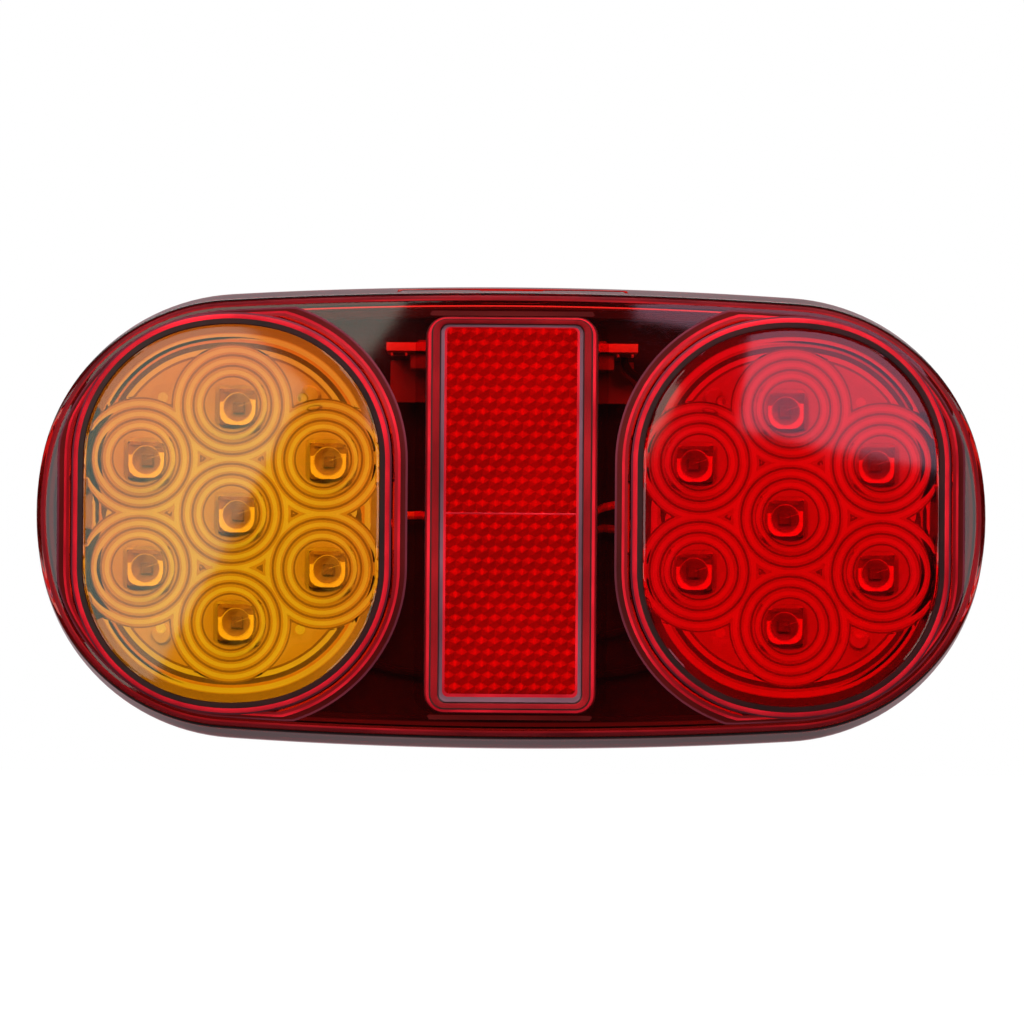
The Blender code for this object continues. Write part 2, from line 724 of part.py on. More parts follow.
def wire_routes():
    """Each lead's own points, then the straight ends by which it meets a board."""
    step = 1.25
    stub = 1.3
    board_y = BOARD_BACK_Y + GAP + stub
    licence_z = LICENCE_BOARD_Z - GAP - stub
    start = WIRE_START_Y
    forward = (0.0, -stub, 0.0)
    upward = (0.0, 0.0, stub)
    return {
        "indicator_wire": (None, forward, [
            (-step, start, ENTRY_Z + step), (-1.8, -9.2, -18.5), (-4.5, -8.6, -7.0),
            (-14.0, -8.4, -0.3), (-24.0, -8.2, 0.0), (-27.2, -8.9, 0.2), (-27.8, board_y, 0.2)]),
        "stop_wire": (None, forward, [
            (step, start, ENTRY_Z + step), (1.8, -9.4, -18.5), (6.0, -9.0, -7.0),
            (15.0, -8.6, 0.8), (23.0, -8.4, 3.2), (27.4, -9.0, 5.0), (28.0, board_y, 5.2)]),
        "tail_wire": (None, forward, [
            (step, start, ENTRY_Z - step), (3.8, -8.8, -20.0), (8.2, -8.4, -8.5),
            (15.5, -8.0, -2.4), (23.0, -8.0, -2.6), (27.2, -8.9, -3.2), (27.8, board_y, -3.3)]),
        "earth_wire": (None, forward, [
            (-step, start, ENTRY_Z - step), (-1.6, -9.4, -24.9), (8.0, -8.0, -25.0),
            (22.0, -7.2, -22.0), (36.0, -8.4, -19.0), (39.4, -9.2, -19.0), (40.0, board_y, -19.0)]),
        "earth_link_wire": (forward, forward, [
            (41.6, board_y, -23.5), (40.8, -8.6, -23.8), (36.0, -7.2, -25.0), (22.0, -6.2, -30.0),
            (0.0, -6.0, -31.5),
            (-22.0, -6.2, -30.0), (-36.0, -7.2, -25.0), (-40.8, -8.6, -23.8), (-41.6, board_y, -23.5)]),
        "licence_feed_wire": (forward, upward, [
            (32.0, board_y, 15.0), (31.2, -8.8, 16.0), (28.6, -8.6, 19.0), (26.0, -10.4, 24.0),
            (22.6, -13.0, 27.4), (21.6, -13.6, licence_z)]),
        "licence_earth_wire": (forward, upward, [
            (34.6, board_y, 18.2), (33.8, -8.8, 19.2), (31.0, -9.6, 21.6), (27.0, -13.0, 25.0),
            (22.6, -16.8, 28.0), (21.6, -17.2, licence_z)]),
    }


def make_wires():
    colours = {
        "indicator_wire": (0.75, 0.5, 0.02), "stop_wire": (0.6, 0.02, 0.02), "tail_wire": (0.3, 0.12, 0.04),
        "licence_feed_wire": (0.3, 0.12, 0.04),
    }
    for name, (start_stub, end_stub, points) in wire_routes().items():
        route = smooth_route(points)
        if start_stub:
            route.insert(0, route[0] + Vector(start_stub))
        if end_stub:
            route.append(route[-1] + Vector(end_stub))
        curve = bpy.data.curves.new(name, "CURVE")
        curve.dimensions = "3D"
        curve.bevel_depth = WIRE_RADIUS * MM
        curve.bevel_resolution = 2
        curve.use_fill_caps = True
        spline = curve.splines.new("POLY")
        spline.points.add(len(route) - 1)
        for point, place in zip(spline.points, route):
            point.co = (*(place * MM), 1.0)
        curve.materials.append(make_material(f"{name}_sheath", colours.get(name, BLACK), 0.5))
        make_object(name, curve)


def main():
    for obj in list(bpy.data.objects):
        bpy.data.objects.remove(obj)
    make_cover()
    make_window_lens("indicator_lens", -1, make_material("amber_lens", AMBER, 0.08))
    make_window_lens("stop_tail_lens", 1, make_material("red_lens", RED, 0.08))
    make_reflector()
    make_licence_window()
    make_housing()
    make_seal()
    white_board = make_material("white_board", WHITE, 0.45)
    make_window_board("indicator_board", -1, white_board)
    make_window_board("stop_tail_board", 1, white_board)
    make_licence_board(white_board)
    make_licence_carrier(make_material("white_plastic", (0.7, 0.69, 0.66), 0.5))
    place_leds()
    place_chips()
    make_fasteners()
    make_grommet()
    make_wires()


main()
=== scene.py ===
"""Looks of the trailer tail light: fine shells, ribbed lenses, prismatic reflector, diodes and fasteners.

Lengths in the shape code are millimetres in the frame's own axes: X along the lamp, -Y out of the
lens, Z up. MM turns them into metres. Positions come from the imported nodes' boxes.
"""
import math

import bmesh
import bpy
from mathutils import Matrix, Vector
from mathutils.geometry import delaunay_2d_cdt


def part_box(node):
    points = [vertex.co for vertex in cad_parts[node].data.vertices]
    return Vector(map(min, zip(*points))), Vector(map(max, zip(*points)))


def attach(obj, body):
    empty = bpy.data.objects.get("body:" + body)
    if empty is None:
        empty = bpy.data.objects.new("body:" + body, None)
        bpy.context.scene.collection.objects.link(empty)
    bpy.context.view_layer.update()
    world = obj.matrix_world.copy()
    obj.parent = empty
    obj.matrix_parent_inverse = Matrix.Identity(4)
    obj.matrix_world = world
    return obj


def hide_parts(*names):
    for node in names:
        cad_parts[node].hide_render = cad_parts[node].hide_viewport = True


MM = 0.001
MICRON = 0.000001
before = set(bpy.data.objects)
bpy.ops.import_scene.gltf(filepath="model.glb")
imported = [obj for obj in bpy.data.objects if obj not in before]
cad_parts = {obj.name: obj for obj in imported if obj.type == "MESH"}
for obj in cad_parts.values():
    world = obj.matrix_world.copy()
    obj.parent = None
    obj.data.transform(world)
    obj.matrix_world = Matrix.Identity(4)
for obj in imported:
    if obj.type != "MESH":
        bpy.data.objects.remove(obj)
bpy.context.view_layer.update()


def node_box(name):
    """A node's lowest and highest corners in millimetres."""
    low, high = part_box(name)
    return low / MM, high / MM


COVER_HIGH = node_box("lens_cover")[1]
LENS_LOW, LENS_HIGH = node_box("stop_tail_lens")
REFLECTOR_LOW, REFLECTOR_HIGH = node_box("reflector")
PLATE_LOW, PLATE_HIGH = node_box("licence_window")

# Outline of the lamp.
HALF_LENGTH = COVER_HIGH.x
HALF_HEIGHT = COVER_HIGH.z
LONG_EDGE_RADIUS = 868.0
END_RADIUS = 57.0
SHOULDER_RADIUS = 40.0

# Cover section.
REAR_Y = COVER_HIGH.y
FRONT_Y = -29.5
INNER_FRONT_Y = -27.2
RIM_Y = -31.7  # front of the collar round each window
LEDGE_Y = -30.35  # face that a window's flange lies against
WALL_INSET = 2.6
DRAFT_START = -3.2
EDGE_RADIUS = 1.7
DROOP_START = 76.0
DROOP_RATE = 0.014

# Windows.
FLANGE = 1.4
FLANGE_Y = -30.25
LENS_BACK_Y = -29.6
WINDOW_X = (LENS_LOW.x + LENS_HIGH.x) / 2
WINDOW_HALF_WIDTH = (LENS_HIGH.x - LENS_LOW.x) / 2 - FLANGE
WINDOW_HALF_HEIGHT = LENS_HIGH.z - FLANGE
WINDOW_CORNER = 25.0
CROWN_Y = LENS_LOW.y
CROWN_FALL = 0.8
FINE_GAP = 0.05  # clearance that shows between fitted parts

# Diodes.
LED_SIDE_X = 17.2
LED_SIDE_Z = 10.3
LED_TOP_Z = 20.5
LED_RING = [(0.0, LED_TOP_Z), (LED_SIDE_X, LED_SIDE_Z), (LED_SIDE_X, -LED_SIDE_Z)]
LED_PLACES = [(0.0, 0.0)] + LED_RING + [(-x, -z) for x, z in LED_RING]
LED_PIN = 2.54
LED_PINS = [(x, z) for x in (-LED_PIN, LED_PIN) for z in (-LED_PIN, LED_PIN)]
LED_LEG = 2.9  # how far the legs reach behind the body
STAKES = ((38.8, 23.0), (66.8, -23.0))  # round heads that hold each window's board


# ---------- outlines ----------

def arc(centre_x, centre_z, radius, start, end, steps):
    points = []
    for step in range(steps):
        angle = start + (end - start) * step / steps
        points.append((centre_x + radius * math.cos(angle), centre_z + radius * math.sin(angle)))
    return points


def mirrored_quarters(quarter, top):
    """A closed outline from its first quarter and the height of its topmost point."""
    left = [(-x, z) for x, z in reversed(quarter)]
    low_left = [(-x, -z) for x, z in quarter]
    low_right = [(x, -z) for x, z in reversed(quarter)]
    return quarter + [(0.0, top)] + left + low_left[1:] + [(0.0, -top)] + low_right[:-1]


def shoulder_centre():
    """Centre of the arc that joins an end's arc to a long edge's."""
    end = Vector((HALF_LENGTH - END_RADIUS, 0.0))
    long_edge = Vector((0.0, HALF_HEIGHT - LONG_EDGE_RADIUS))
    to_end = END_RADIUS - SHOULDER_RADIUS
    to_long = LONG_EDGE_RADIUS - SHOULDER_RADIUS
    between = (long_edge - end).length
    along = (to_end**2 - to_long**2 + between**2) / (2 * between)
    across = math.sqrt(to_end**2 - along**2)
    direction = (long_edge - end) / between
    return end + direction * along + Vector((-direction.y, direction.x)) * across


SHOULDER = shoulder_centre()
END_X = HALF_LENGTH - END_RADIUS
LONG_Z = HALF_HEIGHT - LONG_EDGE_RADIUS
END_TURN = math.atan2(SHOULDER.y, SHOULDER.x - END_X)
LONG_TURN = math.atan2(SHOULDER.y - LONG_Z, SHOULDER.x)
PLATE_TURN = math.acos((PLATE_HIGH.x + FINE_GAP) / (LONG_EDGE_RADIUS - 2.0))
END_STEPS, SHOULDER_STEPS, LONG_STEPS, PLATE_STEPS = 5, 26, 8, 6
PLATE_FIRST = END_STEPS + SHOULDER_STEPS + LONG_STEPS  # index of the first column over the top window


def lamp_outline(inset):
    long_edge = LONG_EDGE_RADIUS - inset
    quarter = arc(END_X, 0.0, END_RADIUS - inset, 0.0, END_TURN, END_STEPS)
    quarter += arc(SHOULDER.x, SHOULDER.y, SHOULDER_RADIUS - inset, END_TURN, LONG_TURN, SHOULDER_STEPS)
    quarter += arc(0.0, LONG_Z, long_edge, LONG_TURN, PLATE_TURN, LONG_STEPS)
    quarter += arc(0.0, LONG_Z, long_edge, PLATE_TURN, math.pi / 2, PLATE_STEPS)
    return mirrored_quarters(quarter, HALF_HEIGHT - inset)


def inset_of(x, z):
    """How far a point lies inside the lamp's outline."""
    x, z = abs(x), abs(z)
    turn = math.atan2(z - SHOULDER.y, x - SHOULDER.x)
    if turn > LONG_TURN or x < SHOULDER.x and z > SHOULDER.y:
        return LONG_EDGE_RADIUS - math.hypot(x, z - LONG_Z)
    if turn < END_TURN:
        return END_RADIUS - math.hypot(x - END_X, z)
    return SHOULDER_RADIUS - math.hypot(x - SHOULDER.x, z - SHOULDER.y)


WINDOW_CORNER_X = WINDOW_HALF_WIDTH - WINDOW_CORNER
WINDOW_CORNER_Z = math.sqrt((WINDOW_HALF_HEIGHT - WINDOW_CORNER) ** 2 - WINDOW_CORNER_X**2)
WINDOW_TURN = math.atan2(WINDOW_CORNER_Z, WINDOW_CORNER_X)


def window_outline(outset, sides=3, corner=22, top=8):
    """A window's outline about its own centre, grown by outset."""
    side_x = WINDOW_HALF_WIDTH + outset
    quarter = [(side_x, WINDOW_CORNER_Z * step / sides) for step in range(sides)]
    quarter += arc(WINDOW_CORNER_X, WINDOW_CORNER_Z, WINDOW_CORNER + outset, 0.0, WINDOW_TURN, corner)
    quarter += arc(0.0, 0.0, WINDOW_HALF_HEIGHT + outset, WINDOW_TURN, math.pi / 2, top)
    return mirrored_quarters(quarter, WINDOW_HALF_HEIGHT + outset)


def window_outset_of(x, z):
    """How far outside a window's outline a point lies; negative inside."""
    x, z = abs(x), abs(z)
    if z < WINDOW_CORNER_Z:
        return x - WINDOW_HALF_WIDTH
    if math.atan2(z - WINDOW_CORNER_Z, x - WINDOW_CORNER_X) < WINDOW_TURN:
        return math.hypot(x - WINDOW_CORNER_X, z - WINDOW_CORNER_Z) - WINDOW_CORNER
    return math.hypot(x, z) - WINDOW_HALF_HEIGHT


def rounded_rectangle(half_width, half_height, radius, steps=8):
    points = []
    for quarter in range(4):
        side_x = 1 if quarter in (0, 3) else -1
        side_z = 1 if quarter < 2 else -1
        start = quarter * math.pi / 2
        centre = (side_x * (half_width - radius), side_z * (half_height - radius))
        points += arc(*centre, radius, start, start + math.pi / 2, steps)
        points += arc(*centre, radius, start + math.pi / 2, start + math.pi / 2, 1)
    return points


def circle(radius, count):
    return arc(0.0, 0.0, radius, 0.0, 2 * math.pi, count)


def hexagon(half_across, cap=math.inf):
    """A hexagon whose corners are turned off at radius cap."""
    points = []
    for x, z in circle(1.0, 48):
        off_side = (math.atan2(z, x) + math.pi / 6) % (math.pi / 3) - math.pi / 6
        radius = min(half_across / math.cos(off_side), cap)
        points.append((radius * x, radius * z))
    return points


def square(half, corner, count):
    """A square with its corners rounded, by even angles, so that it skins onto a circle."""
    power = 2 + 2 * half / corner
    points = []
    for x, z in circle(1.0, count):
        radius = half / (abs(x) ** power + abs(z) ** power) ** (1 / power)
        points.append((radius * x, radius * z))
    return points


# ---------- meshes ----------

def at_depth(outline, y, centre=(0.0, 0.0)):
    return [Vector((x + centre[0], y, z + centre[1])) for x, z in outline]


def stack(outline, steps, centre=(0.0, 0.0)):
    """Loops from steps of (size, y), where outline gives the line of a size."""
    return [at_depth(outline(size), y, centre) for size, y in steps]


def flat(points):
    """The XZ outline of a loop."""
    return [(point.x, point.z) for point in points]


def about(x, y, radius, angle):
    """A point on a circle round the line along Y through x."""
    return Vector((x + radius * math.cos(angle), y, radius * math.sin(angle)))


def skin(bm, loops, materials=0, caps=(False, False), cap_material=0, ring=False, skip=None):
    """Joins loops of equal count by quads. materials is one index or one for each band."""
    rows = [[bm.verts.new(point * MM) for point in loop] for loop in loops]
    pairs = list(zip(rows, rows[1:]))
    if ring:
        pairs.append((rows[-1], rows[0]))
    for band, (near, far) in enumerate(pairs):
        for index, corner in enumerate(near):
            if skip and skip(band, index):
                continue
            after = (index + 1) % len(near)
            face = bm.faces.new((corner, near[after], far[after], far[index]))
            face.material_index = materials if isinstance(materials, int) else materials[band]
    for wanted, corners in zip(caps, (rows[0][::-1], rows[-1])):
        if wanted:
            bm.faces.new(corners).material_index = cap_material
    return rows


def solid_skin(bm, loops, material=0):
    """A closed form of one material."""
    skin(bm, loops, material, (True, True), material)


def inside(point, polygon):
    """Whether an XZ point is inside a closed polygon."""
    x, z = point
    found = False
    for (x1, z1), (x2, z2) in zip(polygon, polygon[1:] + polygon[:1]):
        if (z1 > z) != (z2 > z) and x < x1 + (z - z1) * (x2 - x1) / (z2 - z1):
            found = not found
    return found


def group_layer(bm):
    return bm.faces.layers.int.get("group") or bm.faces.layers.int.new("group")


def fill(bm, loops, depth, points=(), edges=(), material=0, group=0):
    """Triangulates the XZ area inside the first loop and outside the others, through further points and edges.

    depth gives y from x and z. A group above 0 keeps the area's shading apart from its neighbours'.
    """
    layer = group_layer(bm)
    spots, lines = [], []
    for loop in loops:
        first = len(spots)
        spots += [Vector(point) for point in loop]
        lines += [(first + i, first + (i + 1) % len(loop)) for i in range(len(loop))]
    first = len(spots)
    spots += [Vector(point) for point in points]
    lines += [(first + a, first + b) for a, b in edges]
    found, _, triangles, origins, _, _ = delaunay_2d_cdt(spots, lines, [], 1, 1e-5)
    places = [spots[ids[0]] if ids else place for place, ids in zip(found, origins)]
    verts = [bm.verts.new(Vector((p.x, depth(p.x, p.y), p.y)) * MM) for p in places]
    made = []
    for triangle in triangles:
        middle = sum((places[i] for i in triangle), Vector((0.0, 0.0))) / 3
        if any(inside(middle, hole) for hole in loops[1:]):
            continue
        face = bm.faces.new([verts[i] for i in triangle])
        face.material_index = material
        face[layer] = group
        made.append(face)
    loose = [vert for vert in verts if not vert.link_faces]
    bmesh.ops.delete(bm, geom=loose, context="VERTS")
    return made


def finish_mesh(name, bm, materials, sharp=32.0, weld=0.002):
    """Welds and shades a form. Edges above sharp degrees, and between groups, stay crisp."""
    bmesh.ops.remove_doubles(bm, verts=bm.verts, dist=weld * MM)
    bmesh.ops.recalc_face_normals(bm, faces=bm.faces)
    layer = group_layer(bm)
    for face in bm.faces:
        face.smooth = True
    for edge in bm.edges:
        if len(edge.link_faces) == 2:
            one, other = edge.link_faces
            edge.smooth = edge.calc_face_angle() < math.radians(sharp) and one[layer] == other[layer]
    bm.faces.layers.int.remove(layer)
    mesh = bpy.data.meshes.new(name)
    bm.to_mesh(mesh)
    bm.free()
    for material in materials:
        mesh.materials.append(material)
    return mesh


def place(name, mesh, slot, node, body="lamp", location=(0.0, 0.0, 0.0), rotation=(0.0, 0.0, 0.0)):
    obj = bpy.data.objects.new(name, mesh)
    obj.location = Vector(location) * MM
    obj.rotation_euler = rotation
    bpy.context.scene.collection.objects.link(obj)
    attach(obj, body)
    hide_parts(node)


def add_piece(name, bm, materials, slot, node, sharp=32.0, **where):
    place(name, finish_mesh(name, bm, materials, sharp), slot, node, **where)


# ---------- materials ----------

class Nodes:
    """A small builder for a node tree."""

    def __init__(self, tree):
        self.tree = tree

    def add(self, kind, **settings):
        node = self.tree.nodes.new(kind)
        for key, value in settings.items():
            name = key.replace("_", " ")
            if name in node.inputs:
                node.inputs[name].default_value = value
            else:
                setattr(node, key, value)
        return node

    def link(self, source, target):
        self.tree.links.new(source, target)

    def ramp(self, source, stops):
        node = self.add("ShaderNodeValToRGB")
        elements = node.color_ramp.elements
        while len(elements) < len(stops):
            elements.new(0.5)
        for element, (spot, colour) in zip(elements, stops):
            element.position = spot
            element.color = (*colour, 1.0)
        self.link(source, node.inputs["Fac"])
        return node.outputs["Color"]

    def span(self, source, **limits):
        """Maps 0..1, or From Min..From Max, to 0..1, or To Min..To Max."""
        node = self.add("ShaderNodeMapRange", **limits)
        self.link(source, node.inputs["Value"])
        return node.outputs["Result"]


class Surface(Nodes):
    """A material whose colour, gloss and relief come from noise about the piece's own position."""

    def __init__(self, name):
        self.material = bpy.data.materials.new(name)
        self.material.use_nodes = True
        super().__init__(self.material.node_tree)
        self.shader = self.tree.nodes["Principled BSDF"]
        self.position = self.add("ShaderNodeTexCoord").outputs["Object"]

    def set(self, **values):
        for key, value in values.items():
            self.shader.inputs[key.replace("_", " ")].default_value = value

    def noise(self, scale, detail=3.0):
        node = self.add("ShaderNodeTexNoise", Scale=scale, Detail=detail, Roughness=0.55)
        self.link(self.position, node.inputs["Vector"])
        return node.outputs["Fac"]

    def tones(self, scale, *stops):
        self.link(self.ramp(self.noise(scale), stops), self.shader.inputs["Base Color"])

    def gloss(self, noise, low, high):
        self.link(self.span(noise, To_Min=low, To_Max=high), self.shader.inputs["Roughness"])

    def bump(self, source, distance, strength):
        node = self.add("ShaderNodeBump", Strength=strength, Distance=distance)
        self.link(source, node.inputs["Height"])
        self.link(node.outputs["Normal"], self.shader.inputs["Normal"])

    def let_light_through(self, tint):
        """Shadow rays pass the surface tinted, so that what lies behind it is lit."""
        clear = self.add("ShaderNodeBsdfTransparent", Color=(*tint, 1.0))
        path = self.add("ShaderNodeLightPath")
        mix = self.add("ShaderNodeMixShader")
        self.link(path.outputs["Is Shadow Ray"], mix.inputs["Fac"])
        self.link(self.shader.outputs["BSDF"], mix.inputs[1])
        self.link(clear.outputs["BSDF"], mix.inputs[2])
        self.link(mix.outputs["Shader"], self.tree.nodes["Material Output"].inputs["Surface"])


def clear_plastic(name, tint, gloss=(0.01, 0.05), shadow=None, ior=1.49):
    """Polished transparent plastic with faint flow marks. Light passes it tinted, without caustics."""
    surface = Surface(name)
    surface.set(Base_Color=(*tint, 1.0), IOR=ior, Transmission_Weight=1.0)
    surface.gloss(surface.noise(160.0, 4.0), *gloss)
    surface.bump(surface.noise(45.0, 2.0), 0.00002, 0.25)
    surface.let_light_through(shadow or tint)
    return surface.material


def solid_plastic(name, dark, light, scale, gloss, grain, specular=0.5, shadow=None):
    """Opaque plastic or paint: two close tones in clouds, uneven gloss and a grain of (microns, scale)."""
    surface = Surface(name)
    surface.tones(scale, (0.3, dark), (0.7, light))
    surface.gloss(surface.noise(scale * 3), *gloss)
    surface.bump(surface.noise(grain[1], 2.0), grain[0] * MICRON, 0.6)
    surface.set(Specular_IOR_Level=specular)
    if shadow:
        surface.let_light_through(shadow)
    return surface.material


def plated_steel(name):
    """Bright zinc plating, slightly blue and yellow in patches, with fine turning marks."""
    surface = Surface(name)
    surface.tones(220.0, (0.25, (0.50, 0.51, 0.54)), (0.55, (0.66, 0.67, 0.68)), (0.8, (0.70, 0.67, 0.58)))
    surface.set(Metallic=1.0)
    surface.gloss(surface.noise(900.0), 0.16, 0.38)
    surface.bump(surface.noise(2600.0, 2.0), 0.00001, 0.5)
    return surface.material


def board_material(name, low, high):
    """White solder mask on glass fibre: slightly creamy, faintly woven, soft gloss."""
    surface = Surface(name)
    surface.tones(60.0, (0.3, low), (0.7, high))
    surface.gloss(surface.noise(400.0), 0.3, 0.5)
    weave = surface.add("ShaderNodeTexWave", Scale=700.0, Distortion=0.6)
    surface.link(surface.position, weave.inputs["Vector"])
    surface.bump(weave.outputs["Fac"], 0.00002, 0.3)
    return surface.material


COVER_SHADE = (1.0, 0.72, 0.62)  # what the cover's red leaves of the light that goes through it
RED_COVER = clear_plastic("cover_red", (0.55, 0.0115, 0.0085), shadow=COVER_SHADE)


def painted_edge_plastic(name, dark, light, scale, specular):
    """Opaque stand-ins on the cover's edges and beads: painted glow where its thick red plastic gathers light,
    painted shade where it goes dark.
    """
    return solid_plastic(name, dark, light, scale, (0.25, 0.5), (10, 300.0), specular, COVER_SHADE)


def lens_plastics(colour, shadow, *parts):
    """A lens's tints in the order of BODY to RIM: clear body, then painted highlight, painted shade and painted glow;
    a part may let other light through than the rest.
    """
    made = []
    for part, tint, *own_shadow in parts:
        gloss = (0.03, 0.07) if part in ("", "_crest") else (0.1, 0.2)
        made.append(clear_plastic(f"lens_{colour}{part}", tint, gloss, *(own_shadow or [shadow])))
    return made


# Painted light: bright and mid are painted glow lines, dim, dark and deep painted shade, pink and grey painted
# reflections.
EDGES = {tone: painted_edge_plastic(f"edge_{tone}", *values) for tone, *values in (
    ("bright", (0.15, 0.002, 0.005), (0.38, 0.007, 0.014), 70.0, 0.06),
    ("mid", (0.07, 0.002, 0.003), (0.17, 0.004, 0.006), 60.0, 0.06),
    ("dim", (0.03, 0.001, 0.002), (0.10, 0.002, 0.004), 45.0, 0.12),
    ("pink", (0.04, 0.006, 0.010), (0.08, 0.011, 0.018), 50.0, 0.06),
    ("dark", (0.006, 0.001, 0.001), (0.016, 0.002, 0.002), 80.0, 0.3),
    ("deep", (0.02, 0.001, 0.001), (0.05, 0.002, 0.002), 45.0, 0.1),
    ("grey", (0.04, 0.014, 0.02), (0.11, 0.045, 0.06), 50.0, 0.2))}
# Crest is a painted highlight; groove, dark and rim are painted shade; ember is a painted red glow.
AMBER_LENS = lens_plastics(
    "amber", (1.0, 0.95, 0.2),
    ("", (0.70, 0.29, 0.032)), ("_crest", (1.0, 0.80, 0.17)), ("_groove", (0.17, 0.05, 0.003)),
    ("_ember", (0.85, 0.20, 0.010), (1.0, 0.5, 0.1)), ("_dark", (0.05, 0.016, 0.002), (1.0, 0.82, 0.15)),
    ("_rim", (0.26, 0.10, 0.010)))
RED_LENS = lens_plastics(
    "red", (1.0, 0.06, 0.07),
    ("", (0.61, 0.0026, 0.0100)), ("_crest", (0.98, 0.0060, 0.0240)), ("_groove", (0.13, 0.0006, 0.0010)),
    ("_ember", (0.50, 0.003, 0.006)), ("_dark", (0.03, 0.0006, 0.0010)))
RED_LENS.append(RED_LENS[-1])
REFLECTOR_RED = clear_plastic("reflector_red", (0.86, 0.006, 0.010), shadow=(1.0, 0.10, 0.10))
CLEAR = clear_plastic("window_clear", (0.93, 0.95, 0.95))
EPOXY_AMBER = clear_plastic("epoxy_amber", (0.93, 1.0, 0.62), (0.02, 0.06), (1.0, 0.97, 0.85), 1.53)
EPOXY_RED = clear_plastic("epoxy_red", (1.0, 0.70, 0.66), (0.02, 0.06), (1.0, 0.9, 0.9), 1.53)
EPOXY_WHITE = clear_plastic("epoxy_clear", (0.96, 0.95, 0.90), (0.02, 0.08), ior=1.53)
ZINC = plated_steel("zinc_plating")
BOARD = board_material("board_white", (0.45, 0.42, 0.37), (0.51, 0.48, 0.43))
# A lighter copy of the board's white: painted light where the number-plate board catches light through its clear
# window.
LIT_LICENCE_BOARD = board_material("board_bright", (0.68, 0.66, 0.62), (0.76, 0.74, 0.70))
# Name, dark and light tone, scale of the clouds, gloss, depth in microns and scale of the grain.
SOLIDS = {name: solid_plastic(name, *values) for name, *values in (
    # The prism tones are painted light: lit, half-lit and shaded copies of one plastic.
    ("prism_bright", (0.38, 0.36, 0.36), (0.50, 0.45, 0.45), 300.0, (0.15, 0.3), (5, 900.0)),
    ("prism_mid", (0.28, 0.26, 0.26), (0.38, 0.32, 0.32), 60.0, (0.2, 0.4), (5, 900.0)),
    ("prism_dark", (0.20, 0.16, 0.16), (0.28, 0.21, 0.21), 60.0, (0.2, 0.4), (5, 900.0)),
    ("housing_black", (0.021, 0.020, 0.021), (0.029, 0.028, 0.029), 300.0, (0.38, 0.6), (60, 1400.0)),
    ("backing_red", (0.28, 0.01, 0.012), (0.36, 0.015, 0.02), 90.0, (0.3, 0.5), (20, 500.0)),
    ("sealant_black", (0.014,) * 3, (0.03,) * 3, 200.0, (0.45, 0.75), (200, 350.0)),
    ("grommet_black", (0.012,) * 3, (0.026, 0.025, 0.025), 300.0, (0.6, 0.85), (40, 1500.0)),
    # The carrier's white plastic is darkened to grey: painted shade for the lamp's dim inside.
    ("carrier_white", (0.20, 0.19, 0.18), (0.28, 0.27, 0.25), 80.0, (0.35, 0.55), (20, 700.0)),
    ("solder_tin", (0.50, 0.50, 0.51), (0.72, 0.72, 0.73), 700.0, (0.2, 0.4), (30, 900.0)),
    ("chip_black", (0.012,) * 3, (0.03,) * 3, 900.0, (0.3, 0.5), (10, 3000.0)),
    # Near-white for the silver lead frame, and painted glint where its U stands for the lit cup walls.
    ("lead_frame", (0.85, 0.85, 0.82), (0.97, 0.97, 0.95), 900.0, (0.25, 0.45), (5, 3000.0)),
    ("led_cup_brown", (0.26, 0.17, 0.09), (0.38, 0.26, 0.15), 900.0, (0.3, 0.5), (5, 3000.0)),
    ("led_cup_dark", (0.16, 0.10, 0.10), (0.30, 0.20, 0.20), 900.0, (0.3, 0.5), (5, 3000.0)),
    ("led_phosphor", (0.85, 0.62, 0.08), (0.95, 0.75, 0.15), 2000.0, (0.5, 0.7), (10, 3000.0)),
    ("led_die", (0.13, 0.075, 0.035), (0.20, 0.12, 0.06), 3000.0, (0.2, 0.4), (5, 5000.0)),
    ("yellow_sheath", (0.85, 0.50, 0.03), (0.95, 0.62, 0.05), 150.0, (0.3, 0.5), (20, 900.0)),
    ("red_sheath", (0.55, 0.015, 0.015), (0.70, 0.03, 0.03), 150.0, (0.3, 0.5), (20, 900.0)),
    ("brown_sheath", (0.24, 0.10, 0.04), (0.34, 0.15, 0.06), 150.0, (0.3, 0.5), (20, 900.0)),
    ("black_sheath", (0.010,) * 3, (0.02,) * 3, 150.0, (0.3, 0.5), (20, 900.0)))}


# ---------- cover ----------

BODY_RED, BRIGHT, MID, DIM, PINK, DARK, DEEP = range(7)  # the cover's clear red, then from BRIGHT on its painted glow, painted shade and painted reflections, as in the edge materials
# The collar's bands: painted reflections, painted glow lines and painted shade beside the clear red.
COLLAR_BANDS = [PINK, DEEP, BRIGHT, MID, BODY_RED, PINK, BRIGHT, BRIGHT, DARK, DARK, BODY_RED, BODY_RED, BODY_RED]
COLLAR_OUTER = 5.6  # where the collar's swollen foot meets the front, as outset from the window
# The foot's lines: outset, least distance from the front's edge, height above the front, share of the droop.
COLLAR_FOOT = ((COLLAR_OUTER, 0.2, 0.0, 1.0), (5.2, 0.5, 0.12, 1.0), (4.25, 0.9, 0.16, 1.0),
               (3.75, 1.3, 0.36, 0.9), (3.15, 1.8, 0.62, 0.8))
